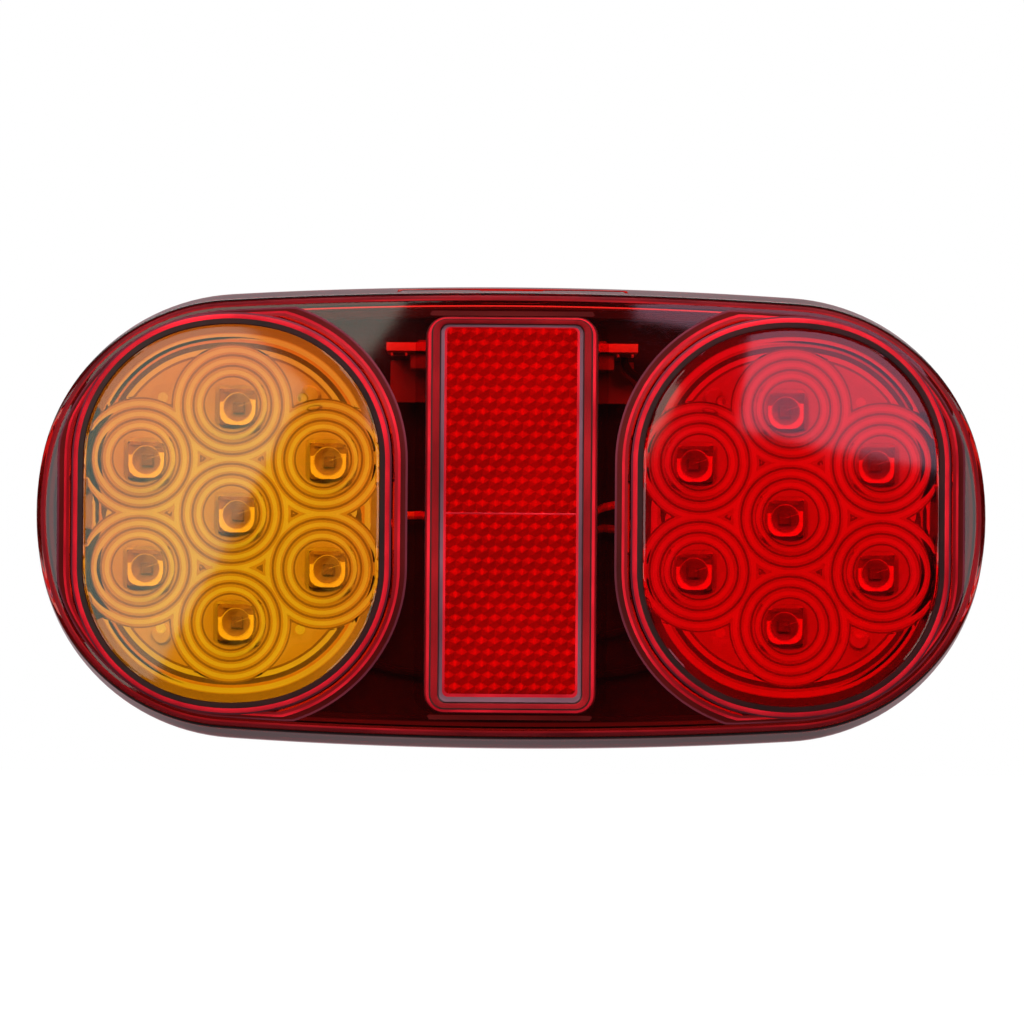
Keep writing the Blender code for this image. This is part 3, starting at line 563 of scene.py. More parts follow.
# The edge's lines: outset and depth.
COLLAR_EDGE = ((2.6, -31.0), (2.25, -31.35), (1.9, -31.62), (1.4, RIM_Y), (0.45, RIM_Y), (0.30, RIM_Y + 0.15),
               (0.30, LEDGE_Y), (FLANGE + 0.08, LEDGE_Y), (FLANGE + 0.08, INNER_FRONT_Y))
STRIP = ((-15.2, 37.75), (15.2, 37.75), (15.6, 38.0), (15.2, 38.65), (-15.2, 38.65), (-15.6, 38.0))
REFLECTOR_HALF = (REFLECTOR_HIGH.x - REFLECTOR_LOW.x) / 2 - 2.0
REFLECTOR_HALF_HEIGHT = REFLECTOR_HIGH.z


def droop(x):
    """The front falls back towards the lamp's two ends."""
    return DROOP_RATE * max(0.0, abs(x) - DROOP_START) ** 2


def drooped(points, share):
    return [Vector((p.x, p.y + droop(p.x) * share, p.z)) for p in points]


def front_depth(x, z):
    return FRONT_Y + droop(x)


def wall_inset(y):
    """Inset of the cover's drafted outside wall at depth y."""
    return WALL_INSET * max(0.0, (y - DRAFT_START) / (FRONT_Y + EDGE_RADIUS - DRAFT_START))


def collar_foot(side, outset, least):
    """A line about a window on the front, kept a little inside the front's edge."""
    points = []
    for x, z in window_outline(outset):
        for _ in range(3):
            short = least - inset_of(side * WINDOW_X + x, z)
            if short > 0:
                length = math.hypot(x, z)
                x -= x / length * short
                z -= z / length * short
        points.append((side * WINDOW_X + x, z))
    return points


def end_points():
    """Points that give the drooping ends of the front their curve."""
    grid = [(side * (78.0 + 2.0 * column), row * 1.5)
            for side in (-1, 1) for column in range(6) for row in range(-14, 15)]
    return [(x, z) for x, z in grid
            if inset_of(x, z) > 5.2 and window_outset_of(abs(x) - WINDOW_X, z) >= COLLAR_OUTER + 0.5]


def make_cover():
    bm = bmesh.new()
    hole_rear = PLATE_HIGH.y + FINE_GAP
    hole_front = PLATE_LOW.y - FINE_GAP
    walls = [(6.1, INNER_FRONT_Y), (5.9, INNER_FRONT_Y), (5.2, -26.6), (4.6, -25.0), (4.45, hole_front),
             (2.72, hole_rear), (2.6, REAR_Y - 0.2), (2.42, REAR_Y), (0.25, REAR_Y), (0.07, REAR_Y - 0.07),
             (0.0, REAR_Y - 0.25), (0.0, DRAFT_START)]
    walls += [(wall_inset(y), y) for y in (-7.0, -9.0, hole_rear, hole_front)]
    rows = [(inset, y, 0.0) for inset, y in walls]
    fillet_steps = 8
    for step in range(fillet_steps + 1):
        angle = step / fillet_steps * math.pi / 2
        inset = WALL_INSET + EDGE_RADIUS * (1 - math.cos(angle))
        rows.append((inset, FRONT_Y + EDGE_RADIUS - EDGE_RADIUS * math.sin(angle), math.sin(angle) ** 2))
    edge_inset = WALL_INSET + EDGE_RADIUS + 0.3
    rows.append((edge_inset, FRONT_Y, 1.0))
    loops = [drooped(at_depth(lamp_outline(inset), y), share) for inset, y, share in rows]
    bands = [BODY_RED] * (len(rows) - 1)
    # The front edge's last bands take painted shade (dim) and a painted glow line (mid).
    bands[-4:-1] = [DIM, DIM, MID]
    inner_hole, outer_hole = 4, 14  # the bands that the number-plate window's opening goes through
    columns = range(PLATE_FIRST, PLATE_FIRST + 2 * PLATE_STEPS)
    verts = skin(bm, loops, bands, skip=lambda band, index: band in (inner_hole, outer_hole) and index in columns)
    # The opening's four sides.
    edge = range(columns[0], columns[-1] + 2)
    for inner_row, outer_row in ((inner_hole, outer_hole + 1), (inner_hole + 1, outer_hole)):
        inner, outer = verts[inner_row], verts[outer_row]
        for a, b in zip(edge, edge[1:]):
            bm.faces.new((inner[a], inner[b], outer[b], outer[a]))
    for index in (edge[0], edge[-1]):
        bm.faces.new([verts[row][index] for row in (inner_hole, inner_hole + 1, outer_hole, outer_hole + 1)])

    opening = rounded_rectangle(REFLECTOR_HALF + FINE_GAP, REFLECTOR_HALF_HEIGHT + FINE_GAP, 4.0)
    feet, pockets = [], []
    for side in (-1, 1):
        collar = [drooped(at_depth(collar_foot(side, outset, edge_inset + least), FRONT_Y - height), share)
                  for outset, least, height, share in COLLAR_FOOT]
        collar += stack(window_outline, COLLAR_EDGE, (side * WINDOW_X, 0.0))
        skin(bm, collar, COLLAR_BANDS)
        feet.append(flat(collar[0]))
        pockets.append(flat(collar[-1]))
    # Short bands of painted shade above and below the reflector.
    strips = [[(x, side * z) for x, z in STRIP] for side in (-1, 1)]
    fill(bm, [flat(loops[-1]), *feet, opening, *strips], front_depth, end_points(), group=1)
    for strip in strips:
        fill(bm, [strip], front_depth, material=DEEP, group=1)
    fill(bm, [flat(loops[0]), *pockets, opening], lambda x, z: INNER_FRONT_Y, group=2)
    skin(bm, [at_depth(opening, FRONT_Y), at_depth(opening, INNER_FRONT_Y)])
    add_piece("cover_shell", bm, [RED_COVER, *EDGES.values()][:DEEP + 1], "red_cover", "lens_cover")


# ---------- window lenses ----------

# Band tints on a lens's back: the clear body, then painted highlight, painted shade and painted glow.
BODY, CREST_HIGHLIGHT, GROOVE_SHADE, EMBER_GLOW, SHADE, RIM = range(6)
# Round ribs over each diode: outer radius of each band and its tint, with painted highlight on the crests and painted
# shade in the grooves.
CELL_BANDS = ((5.15, BODY), (5.5, GROOVE_SHADE), (5.85, BODY), (6.6, CREST_HIGHLIGHT), (7.15, BODY), (7.55, GROOVE_SHADE), (7.95, BODY),
              (8.7, CREST_HIGHLIGHT), (9.15, BODY), (9.55, GROOVE_SHADE), (9.95, BODY), (10.75, CREST_HIGHLIGHT), (11.2, BODY), (11.5, GROOVE_SHADE))
CELL_RADIUS = CELL_BANDS[-1][0]
CENTRE_RADIUS = CELL_BANDS[0][0]
CELL_RIBS = (6.22, 8.32, 10.35)
CELL_RIB_HALF = 1.02
RIB_HEIGHT = 0.22
# Ribs that follow the window's edge: inner limit of each band as inset from the edge, and its tint: painted
# highlight, glow and shade, and a painted dark rim.
EDGE_BANDS = ((1.3, RIM), (1.5, BODY), (2.5, CREST_HIGHLIGHT), (3.05, EMBER_GLOW), (4.0, SHADE), (4.95, CREST_HIGHLIGHT), (5.4, GROOVE_SHADE))
EDGE_RIBS = (1.8, 4.4)
EDGE_RIB_HALF = 0.85
# Raised dots between the outer cells, each between two specks; the dots take the crests' painted highlight tint, the
# specks the red ember tint.
DOTS = ((13.1, 21.8), (-13.1, 21.8), (13.1, -21.8), (-13.1, -21.8))
DOT_RADIUS = 0.95
SPECK_OFF = 2.8
LENS_INSETS = (0.2, 0.6, 2.0, 4.0, 7.0, 10.0, 13.0, 16.0, 19.0, 22.0, 24.5)


def nearest_led(x, z):
    """Number of the nearest diode and its distance."""
    distance, number = min((math.hypot(x - led_x, z - led_z), n) for n, (led_x, led_z) in enumerate(LED_PLACES))
    return number, distance


def ribs(spot, centres, half):
    """Height of parallel ribs at a spot across them."""
    offs = [spot - centre for centre in centres]
    return sum(RIB_HEIGHT * math.cos(off / half * math.pi / 2) ** 2 for off in offs if abs(off) < half)


def dome(off, radius, height):
    return height * (1 - (off / radius) ** 2)


def lens_relief(x, z):
    """How far the lens's back is hollowed or raised at a point."""
    distance = nearest_led(x, z)[1]
    if distance < CENTRE_RADIUS:
        return dome(distance, CENTRE_RADIUS, RIB_HEIGHT)
    if distance < CELL_RADIUS:
        return ribs(distance, CELL_RIBS, CELL_RIB_HALF)
    for dot_x, dot_z in DOTS:
        off = math.hypot(x - dot_x, z - dot_z)
        if off < DOT_RADIUS:
            return dome(off, DOT_RADIUS, 0.15)
    return ribs(-window_outset_of(x, z), EDGE_RIBS, EDGE_RIB_HALF)


def painted_lens_band(x, z):
    """Which band tint a spot on the lens's back has: clear body, painted highlight, painted shade or painted glow."""
    distance = nearest_led(x, z)[1]
    for limit, finish in CELL_BANDS:
        if distance < limit:
            return finish
    for dot_x, dot_z in DOTS:
        off = math.hypot(x - dot_x, z - dot_z)
        if off < DOT_RADIUS:
            return CREST_HIGHLIGHT
        along = ((x - dot_x) * dot_z - (z - dot_z) * dot_x) / math.hypot(dot_x, dot_z)
        if abs(abs(along) - SPECK_OFF) < 0.5 and off < SPECK_OFF + 0.1:
            return EMBER_GLOW
    inset = -window_outset_of(x, z)
    for limit, finish in EDGE_BANDS:
        if inset < limit:
            return finish
    return BODY


def relief_lines():
    """Points and edges of every band's limit, so that the mesh follows them."""
    points, edges = [], []

    def add_ring(line, wanted=lambda x, z: True):
        """Adds the wanted stretches of a closed line."""
        numbers = []
        for point in line:
            numbers.append(len(points) if wanted(*point) else None)
            if wanted(*point):
                points.append(point)
        pairs = list(zip(numbers, numbers[1:]))
        if None not in numbers:
            pairs.append((numbers[-1], numbers[0]))
        edges.extend(pair for pair in pairs if None not in pair)

    radii = [1.2, 2.4, 3.5, 4.5] + [limit for limit, _ in CELL_BANDS]
    radii += [centre + off for centre in CELL_RIBS for off in (-0.17, 0.17)]
    for number, (led_x, led_z) in enumerate(LED_PLACES):
        for radius in radii:
            steps = max(16, int(radius * 8.5))
            start = math.pi * (number % 2) / steps
            line = arc(led_x, led_z, radius, start, start + 2 * math.pi, steps)
            add_ring(line, lambda x, z: nearest_led(x, z)[0] == number and window_outset_of(x, z) < -0.3)
    for inset in [limit for limit, _ in EDGE_BANDS] + [1.5, 2.1, 4.1, 4.65]:
        line = window_outline(-inset, sides=6, corner=60, top=24)
        add_ring(line, lambda x, z: nearest_led(x, z)[1] > CELL_RADIUS + 0.08)
    for dot_x, dot_z in DOTS:
        for radius in (DOT_RADIUS, DOT_RADIUS * 0.6):
            add_ring(arc(dot_x, dot_z, radius, 0.0, 2 * math.pi, 16))
        length = math.hypot(dot_x, dot_z)
        for off in (-SPECK_OFF, SPECK_OFF):
            add_ring(arc(dot_x + off * dot_z / length, dot_z - off * dot_x / length, 0.42, 0.0, 2 * math.pi, 8))
    return points, edges


def lens_front(x, z):
    return CROWN_Y + CROWN_FALL * ((x / WINDOW_HALF_WIDTH) ** 2 + (z / WINDOW_HALF_HEIGHT) ** 2)


def make_lenses():
    """Crowned plates with their flanges, and round ribs over each diode on their backs."""
    bm = bmesh.new()
    plug = 0.25
    back_edge = window_outline(FLANGE - 0.2)
    loops = stack(window_outline, ((FLANGE - 0.2, LENS_BACK_Y), (FLANGE, LENS_BACK_Y - 0.1), (FLANGE, FLANGE_Y),
                                   (plug, FLANGE_Y), (plug, RIM_Y + 0.1)))
    loops.append([Vector((x, lens_front(x, z) + 0.1, z)) for x, z in window_outline(0.0)])
    for inset in LENS_INSETS:
        loops.append([Vector((x, lens_front(x, z), z)) for x, z in window_outline(-inset)])
    skin(bm, loops, caps=(False, True))
    # Each face of the back takes its band's tint, painted highlight and shade among them.
    for face in fill(bm, [back_edge], lambda x, z: LENS_BACK_Y + lens_relief(x, z), *relief_lines()):
        middle = face.calc_center_median() / MM
        face.material_index = painted_lens_band(middle.x, middle.z)
    mesh = finish_mesh("indicator_lens_ribbed", bm, AMBER_LENS, sharp=25.0)
    place("indicator_lens_ribbed", mesh, "amber_lens", "indicator_lens", location=(-WINDOW_X, 0.0, 0.0))
    mesh = mesh.copy()
    for index, material in enumerate(RED_LENS):
        mesh.materials[index] = material
    place("stop_tail_lens_ribbed", mesh, "red_lens", "stop_tail_lens", location=(WINDOW_X, 0.0, 0.0))


# ---------- reflector ----------

SEAM = ((-0.15, 0.0), (-0.08, -0.05), (0.08, -0.05), (0.15, 0.0))  # height and depth across the field's seam
PRISM_PITCH = 2.5
PRISM_HALF_WIDTH = 12.9
PRISM_TOP = 35.5
PRISM_LOW = -34.1
PRISM_Y = -30.12  # tips of the prisms
PRISM_BACK_Y = -28.6


def make_reflector():
    """A framed block: rounded face frame, a slightly sunk field with a fine seam, and a pocket behind it."""
    bm = bmesh.new()
    flange_y = INNER_FRONT_Y + FINE_GAP
    front, rear = REFLECTOR_LOW.y, REFLECTOR_HIGH.y
    pocket_y = front + 2.1
    field_y = front + 0.6
    half, height = REFLECTOR_HALF, REFLECTOR_HALF_HEIGHT
    clear, bright, mid, grey, dark = range(5)
    # Half width, top, bottom, corner radius, depth, tint of the band that follows: past the clear body, bright and
    # mid are painted glow lines, grey a painted reflection on the inner bevel, dark painted shade.
    steps = [
        (12.3, 35.3, -33.7, 0.9, field_y, bright),
        (12.75, 35.5, -34.3, 1.1, front + 0.52, grey),
        (13.05, 35.7, -34.7, 1.3, front + 0.50, grey),
        (13.4, 35.9, -35.2, 1.5, front + 0.35, dark),
        (13.65, 36.1, -35.5, 1.7, front + 0.15, mid),
        (14.2, 36.5, -35.8, 2.0, front, mid),
        (14.95, 36.85, -36.4, 2.6, front, dark),
        (15.25, 37.0, -36.7, 2.9, front, bright),
        (15.8, 37.2, -37.15, 3.5, front + 0.05, mid),
        (16.1, 37.35, -37.35, 3.8, front + 0.3, dark),
        (half, height, -height, 4.0, front + 0.9, dark),
        (half, height, -height, 4.0, flange_y, clear),
        (half + 2.0, height - 0.1, -height + 0.1, 4.0, flange_y, clear),
        (half + 2.0, height - 0.1, -height + 0.1, 4.0, rear, clear),
        (13.3, 35.6, -35.6, 1.5, rear, clear),
        (13.3, 35.6, -35.6, 1.5, pocket_y, clear),
    ]
    loops = []
    for width, top, low, radius, y, _ in steps:
        outline = rounded_rectangle(width, (top - low) / 2, radius)
        loops.append(at_depth(outline, y, (0.0, (top + low) / 2)))
    skin(bm, loops, [step[-1] for step in steps[:-1]])
    fill(bm, [flat(loops[0])], lambda x, z: field_y, group=1)
    fill(bm, [flat(loops[-1])], lambda x, z: pocket_y, group=2)
    # The seam's line is painted bright with the glow tint.
    seam = [[Vector((x, field_y + y, 0.3 + z)) for z, y in SEAM] for x in (-12.25, 12.25)]
    skin(bm, seam, bright, caps=(True, True))
    finishes = [REFLECTOR_RED, EDGES["bright"], EDGES["mid"], EDGES["grey"], EDGES["dark"]]
    add_piece("reflector_block", bm, finishes, "red_reflector", "reflector")


def add_prism(bm, x, z):
    """One corner cube with painted light by facet: three painted lit and two painted darker facets about its tip, and
    a narrow one at its upper edge painted as a highlight.
    """
    bright, mid, dark = range(3)
    reach = PRISM_PITCH / math.sqrt(3)
    middle = Vector((x, PRISM_Y, z))
    rim = [about(x, PRISM_Y + drop, reach, math.radians(90 + 60 * corner)) + Vector((0.0, 0.0, z))
           for corner, drop in enumerate((0.9, 0.45) * 3)]
    waist = (middle + rim[0]) / 2 + Vector((0.0, -0.12, 0.0))
    left, right = waist + Vector((-0.42, 0.15, 0.1)), waist + Vector((0.42, 0.15, 0.1))
    facets = (
        ((middle, left, rim[0], rim[1]), mid), ((middle, rim[1], rim[2]), mid),
        ((middle, rim[2], rim[3], rim[4]), dark), ((middle, rim[5], rim[0], right), mid),
        ((middle, rim[4], rim[5]), dark), ((middle, waist, left), bright), ((waist, rim[0], left), bright),
        ((middle, right, waist), bright), ((waist, right, rim[0]), bright))
    for corners, material in facets:
        bm.faces.new([bm.verts.new(corner * MM) for corner in corners]).material_index = material


def open_edges(bm):
    return [edge for edge in bm.edges if len(edge.link_faces) == 1]


def make_prisms():
    """Corner-cube prisms in a pointy-top hexagon lattice."""
    bm = bmesh.new()
    row_pitch = 1.5 * PRISM_PITCH / math.sqrt(3)
    for row in range(int((PRISM_TOP - PRISM_LOW) / row_pitch) + 3):
        for column in range(int(2 * PRISM_HALF_WIDTH / PRISM_PITCH) + 3):
            x = -PRISM_HALF_WIDTH - PRISM_PITCH / 2 + (column + 0.5 * (row % 2)) * PRISM_PITCH
            add_prism(bm, x, PRISM_LOW - row_pitch / 2 + row * row_pitch)
    bmesh.ops.remove_doubles(bm, verts=bm.verts, dist=0.005 * MM)
    planes = (((PRISM_HALF_WIDTH, 0, 0), (1, 0, 0)), ((-PRISM_HALF_WIDTH, 0, 0), (-1, 0, 0)),
              ((0, 0, PRISM_TOP), (0, 0, 1)), ((0, 0, PRISM_LOW), (0, 0, -1)))
    for point, normal in planes:
        bmesh.ops.bisect_plane(bm, geom=bm.verts[:] + bm.edges[:] + bm.faces[:], plane_co=Vector(point) * MM,
                               plane_no=normal, clear_outer=True)
    # A back and sides close the sheet.
    for grown in bmesh.ops.extrude_edge_only(bm, edges=open_edges(bm))["geom"]:
        if isinstance(grown, bmesh.types.BMVert):
            grown.co.y = PRISM_BACK_Y * MM
    bmesh.ops.holes_fill(bm, edges=open_edges(bm), sides=0)
    # The three tones are one plastic painted as lit, half-lit and shaded.
    finishes = [SOLIDS[f"prism_{tone}"] for tone in ("bright", "mid", "dark")]
    add_piece("reflector_prisms", bm, finishes, "red_reflector", "reflector", sharp=5.0)


# ---------- diodes and boards ----------

def tube(bm, path, radius, count, material):
    """A round tube along a path."""
    loops = []
    for index, point in enumerate(path):
        ahead = path[min(index + 1, len(path) - 1)] - path[max(index - 1, 0)]
        turn = ahead.to_track_quat("Z", "Y")
        loops.append([point + turn @ Vector((x * radius, z * radius, 0.0)) for x, z in circle(1.0, count)])
    skin(bm, loops, material, caps=(True, True))


def plate(bm, outline, near, far, material, bevel=0.05, centre=(0.0, 0.0)):
    """A flat plate with its two faces' edges broken; the outline is star-shaped about its middle."""
    shares = [1 - bevel / max(math.hypot(x, z), bevel) for x, z in outline]
    shrunk = [(x * share, z * share) for (x, z), share in zip(outline, shares)]
    steps = ((shrunk, near), (outline, near + bevel), (outline, far - bevel), (shrunk, far))
    solid_skin(bm, [at_depth(line, y, centre) for line, y in steps], material)


def stroke(bm, path, half_width, near, far, material):
    """A flat strip of even width along an XZ path."""
    sections = []
    for index, (x, z) in enumerate(path):
        (x1, z1), (x2, z2) = path[max(index - 1, 0)], path[min(index + 1, len(path) - 1)]
        share = half_width / math.hypot(x2 - x1, z2 - z1)
        side_x, side_z = (z2 - z1) * share, (x1 - x2) * share
        corners = ((1, near), (-1, near), (-1, far), (1, far))
        sections.append([Vector((x + way * side_x, y, z + way * side_z)) for way, y in corners])
    solid_skin(bm, sections, material)


def lathe(bm, profile, count=32, centre=(0.0, 0.0), material=0):
    """A ring turned about the Y axis from a closed profile of (radius, y)."""
    skin(bm, stack(lambda radius: circle(radius, count), profile, centre), material, ring=True)


def led_body_outline(half):
    """A rounded square with one corner cut off, as the mark of the cathode."""
    points = []
    for x, z in square(half, 0.5, 48):
        over = max(0.0, x + z - 1.72 * half)
        points.append((x - over / 2, z - over / 2))
    return points


def make_led_mesh(name, epoxy, cup_finish, phosphor):
    """A four-leg diode facing -Y: body and dome, lead frame with its cup, chip, bond wire and legs."""
    silver, cup, die, glow = range(1, 5)
    bm = bmesh.new()
    body = ((3.55, 0.0), (3.74, -0.12), (3.8, -0.4), (3.8, -1.85), (3.72, -2.08), (3.5, -2.2))
    loops = stack(led_body_outline, body)
    dome_lines = [(2.62, -2.2), (2.52, -2.28), (2.5, -2.4)]
    dome_lines += [(2.5 * math.cos(math.pi / 16 * step), -2.4 - 2.5 * math.sin(math.pi / 16 * step))
                   for step in range(1, 8)]
    skin(bm, loops + stack(lambda radius: circle(radius, 48), dome_lines), caps=(True, True))
    for pin in LED_PINS:
        steps = ((0.45, 0.0), (0.25, 1.4), (0.24, 2.6), (0.12, LED_LEG))
        skin(bm, stack(lambda half: square(half, 0.08, 16), steps, pin), silver, caps=(True, True))
    # The bright frame: a rounded U about the cup, a painted highlight where the cup's lower and side walls catch
    # light, and two small plates above it.
    stroke(bm, [(-2.4, 0.9), (-2.4, -1.1), (-2.25, -1.75), (-1.8, -2.2), (-1.1, -2.4), (1.1, -2.4), (1.8, -2.2),
                (2.25, -1.75), (2.4, -1.1), (2.4, 1.3)], 0.55, -1.5, -1.15, silver)
    for centre, half_x in (((-1.6, 2.75), 0.8), ((1.7, 2.6), 0.7)):
        plate(bm, rounded_rectangle(half_x, 0.3, 0.15, 3), -1.25, -0.95, cup, centre=centre)
    # The carrier plate behind, and the round cup with its rim that holds the chip.
    plate(bm, rounded_rectangle(3.0, 3.0, 0.5, 4), -0.7, -0.4, cup)
    lathe(bm, [(1.85, -0.75), (1.9, -1.05), (1.75, -1.24), (1.2, -1.3), (0.62, -0.92), (0.02, -0.9),
               (0.02, -0.75)], material=cup)
    lathe(bm, [(1.26, -1.28), (1.28, -1.34), (1.16, -1.35), (1.12, -1.29)], material=silver)
    plate(bm, square(0.42, 0.05, 16), -1.12, -0.91, die, 0.03)
    if phosphor:
        lathe(bm, [(1.1, -1.3), (0.8, -1.42), (0.3, -1.47), (0.02, -1.47), (0.02, -1.15), (1.0, -1.15)], 24,
              material=glow)
    shares = [step / 8 for step in range(9)]
    bond = [Vector((0.1 + 1.5 * share, -1.15 - 0.75 * math.sin(share * math.pi * 0.9), 0.1 + 0.5 * share))
            for share in shares]
    tube(bm, bond, 0.02, 6, silver)
    plate(bm, rounded_rectangle(0.42, 0.32, 0.1, 3), -1.5, -1.25, die, 0.04, (-1.25, 1.75))
    plate(bm, rounded_rectangle(0.3, 0.5, 0.1, 3), -1.45, -1.25, die, 0.04, (1.75, 1.3))
    finishes = [epoxy] + [SOLIDS[key] for key in ("lead_frame", cup_finish, "led_die", "led_phosphor")]
    return finish_mesh(name, bm, finishes, sharp=35.0)


def make_leds(prefix, colour, count, epoxy, cup, faces_up=False):
    mesh = make_led_mesh(f"{colour}_diode", epoxy, cup, phosphor=faces_up)
    for number in range(1, count + 1):
        node = f"{prefix}_led_{number}"
        low, high = node_box(node)
        foot = (low + high) / 2
        if faces_up:
            foot.z = low.z + LED_LEG
        else:
            foot.y = high.y - LED_LEG
        turn = -math.pi / 2 if faces_up else 0.0
        place(f"{prefix}_diode_{number}", mesh, f"{colour}_led", node, location=foot, rotation=(turn, 0.0, 0.0))


def make_softened(node, name, material, slot, width):
    """A CAD node's shape with its sharp edges rounded."""
    bm = bmesh.new()
    bm.from_mesh(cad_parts[node].data)
    bmesh.ops.remove_doubles(bm, verts=bm.verts, dist=0.001 * MM)
    bmesh.ops.dissolve_limit(bm, angle_limit=math.radians(1.0), verts=bm.verts, edges=bm.edges)
    if width:
        sharp = [edge for edge in bm.edges
                 if len(edge.link_faces) == 2 and edge.calc_face_angle() > math.radians(40.0)]
        bmesh.ops.bevel(bm, geom=sharp, offset=width * MM, segments=2, profile=0.6, affect="EDGES",
                        clamp_overlap=True)
    for face in bm.faces:
        face.material_index = 0
    place(name, finish_mesh(name, bm, [material], 38.0, 0.001), slot, node)


def make_board(node, side):
    """A lamp board: rounded plate, solder cones and bus tracks behind, and two round stake heads in front."""
    low, high = node_box(node)
    centre_x = (low.x + high.x) / 2
    edge = -0.3
    bm = bmesh.new()
    rows = ((edge - 0.12, low.y), (edge, low.y + 0.12), (edge, high.y - 0.12), (edge - 0.12, high.y))
    skin(bm, stack(window_outline, rows), caps=(True, True))
    cone = [(radius, high.y + up) for radius, up in
            ((0.95, -0.02), (0.9, 0.06), (0.55, 0.25), (0.34, 0.75), (0.05, 0.95), (0.05, -0.02))]
    for led_x, led_z in LED_PLACES:
        for x, z in LED_PINS:
            lathe(bm, cone, 14, (led_x + x, led_z + z), 1)
    for led_x in (-LED_SIDE_X, 0.0, LED_SIDE_X):
        track = rounded_rectangle(0.5, (LED_SIDE_Z if led_x else LED_TOP_Z) - 1.0, 0.2, 3)
        for off in (-LED_PIN, LED_PIN):
            plate(bm, track, high.y - 0.02, high.y + 0.05, 1, 0.02, (led_x + off, 0.0))
    stake = [(radius, low.y + up) for radius, up in
             ((1.85, 0.02), (1.82, -0.3), (1.7, -0.7), (1.4, -1.0), (0.02, -1.1), (0.02, -0.95), (1.45, -0.9),
              (1.45, 0.02))]
    for x, z in STAKES:
        lathe(bm, stake, 24, (side * x - centre_x, z))
    add_piece(f"{node}_tracks", bm, [BOARD, SOLIDS["solder_tin"]], "white_board", node, location=(centre_x, 0.0, 0.0))


def make_chip(node):
    """A surface-mount part along X: black body, tinned wrap-around ends."""
    low, high = node_box(node)
    size = (high - low) / 2
    faces_up = node.startswith("licence")
    width, thick = (size.y, size.z) if faces_up else (size.z, size.y)
    bm = bmesh.new()

    def block(start, end, less, material):
        sections = []
        for along, inset in ((start, 0.06), (start + 0.06, 0.0), (end - 0.06, 0.0), (end, 0.06)):
            ring = rounded_rectangle(width - less - inset, thick - less - inset, 0.05, 2)
            sections.append([Vector((along, y, z)) for z, y in ring])
        solid_skin(bm, sections, material)

    end = size.x * 0.3
    block(-size.x, -size.x + end, 0.0, 1)
    block(-size.x + end * 0.8, size.x - end * 0.8, 0.03, 0)
    block(size.x - end, size.x, 0.0, 1)
    turn = math.pi / 2 if faces_up else 0.0
    finishes = [SOLIDS["chip_black"], SOLIDS["solder_tin"]]
    add_piece(f"{node}_chip", bm, finishes, "chip", node, location=(low + high) / 2, rotation=(turn, 0.0, 0.0))


PLATE_INSIDE = 4.3  # inset of the number-plate window's inside face
PLATE_RIDGE = 0.22


def make_licence_window():
    """A clear plate that follows the top edge, with fine prism ribs on its inside."""
    bm = bmesh.new()
    low, high = PLATE_LOW, PLATE_HIGH
    columns = 56
    loops = []
    for column in range(columns + 1):
        x = low.x + (high.x - low.x) * column / columns
        at_end = column in (0, columns)
        ridge = PLATE_RIDGE if column % 2 and not at_end else 0.0
        sunk = 0.15 if at_end else 0.0
        section = [(y, wall_inset(y) + 0.12 + sunk + inset) for y, inset in
                   ((low.y, 0.15), (low.y + 0.15, 0.0), (high.y - 0.15, 0.0), (high.y, 0.15))]
        section += [(y, PLATE_INSIDE - sunk + inset) for y, inset in
                    ((high.y, -0.12), (high.y - 0.12, 0.0), (high.y - 1.0, ridge), (low.y + 1.0, ridge),
                     (low.y + 0.12, 0.0), (low.y, -0.12))]
        heights = [(y, LONG_Z + math.sqrt((LONG_EDGE_RADIUS - inset) ** 2 - x**2)) for y, inset in section]
        loops.append([Vector((x, y, min(max(z, low.z), high.z))) for y, z in heights])
    skin(bm, loops, caps=(True, True))
    add_piece("licence_window_ribbed", bm, [CLEAR], "clear_window", "licence_window")


# ---------- fasteners and grommet ----------

THREAD_PITCH = 0.8
THREAD_DEPTH = 0.44
THREAD_FLANK = 2.3
TIP_LENGTH = 0.7
TIP_DEPTH = 0.55
STUD_RADIUS = 2.5
BORE_RADIUS = 2.62
NUT_HALF = 4.0
NECK_Y = -5.32  # back of the stud's head


def axis_box(node):
    low, high = node_box(node)
    return low, high, (low.x + high.x) / 2


def thread_loops(x, depths, count, shape):
    """Loops about the line along Y through x. shape gives the radius from y and the ridge there, 0 to 1."""
    loops = []
    for y in depths:
        loop = []
        for index in range(count):
            share = index / count
            phase = (y / THREAD_PITCH - share) % 1.0
            ridge = 1 - min(1.0, abs(phase - 0.5) * THREAD_FLANK)
            loop.append(about(x, y, shape(y, ridge), 2 * math.pi * share))
        loops.append(loop)
    return loops


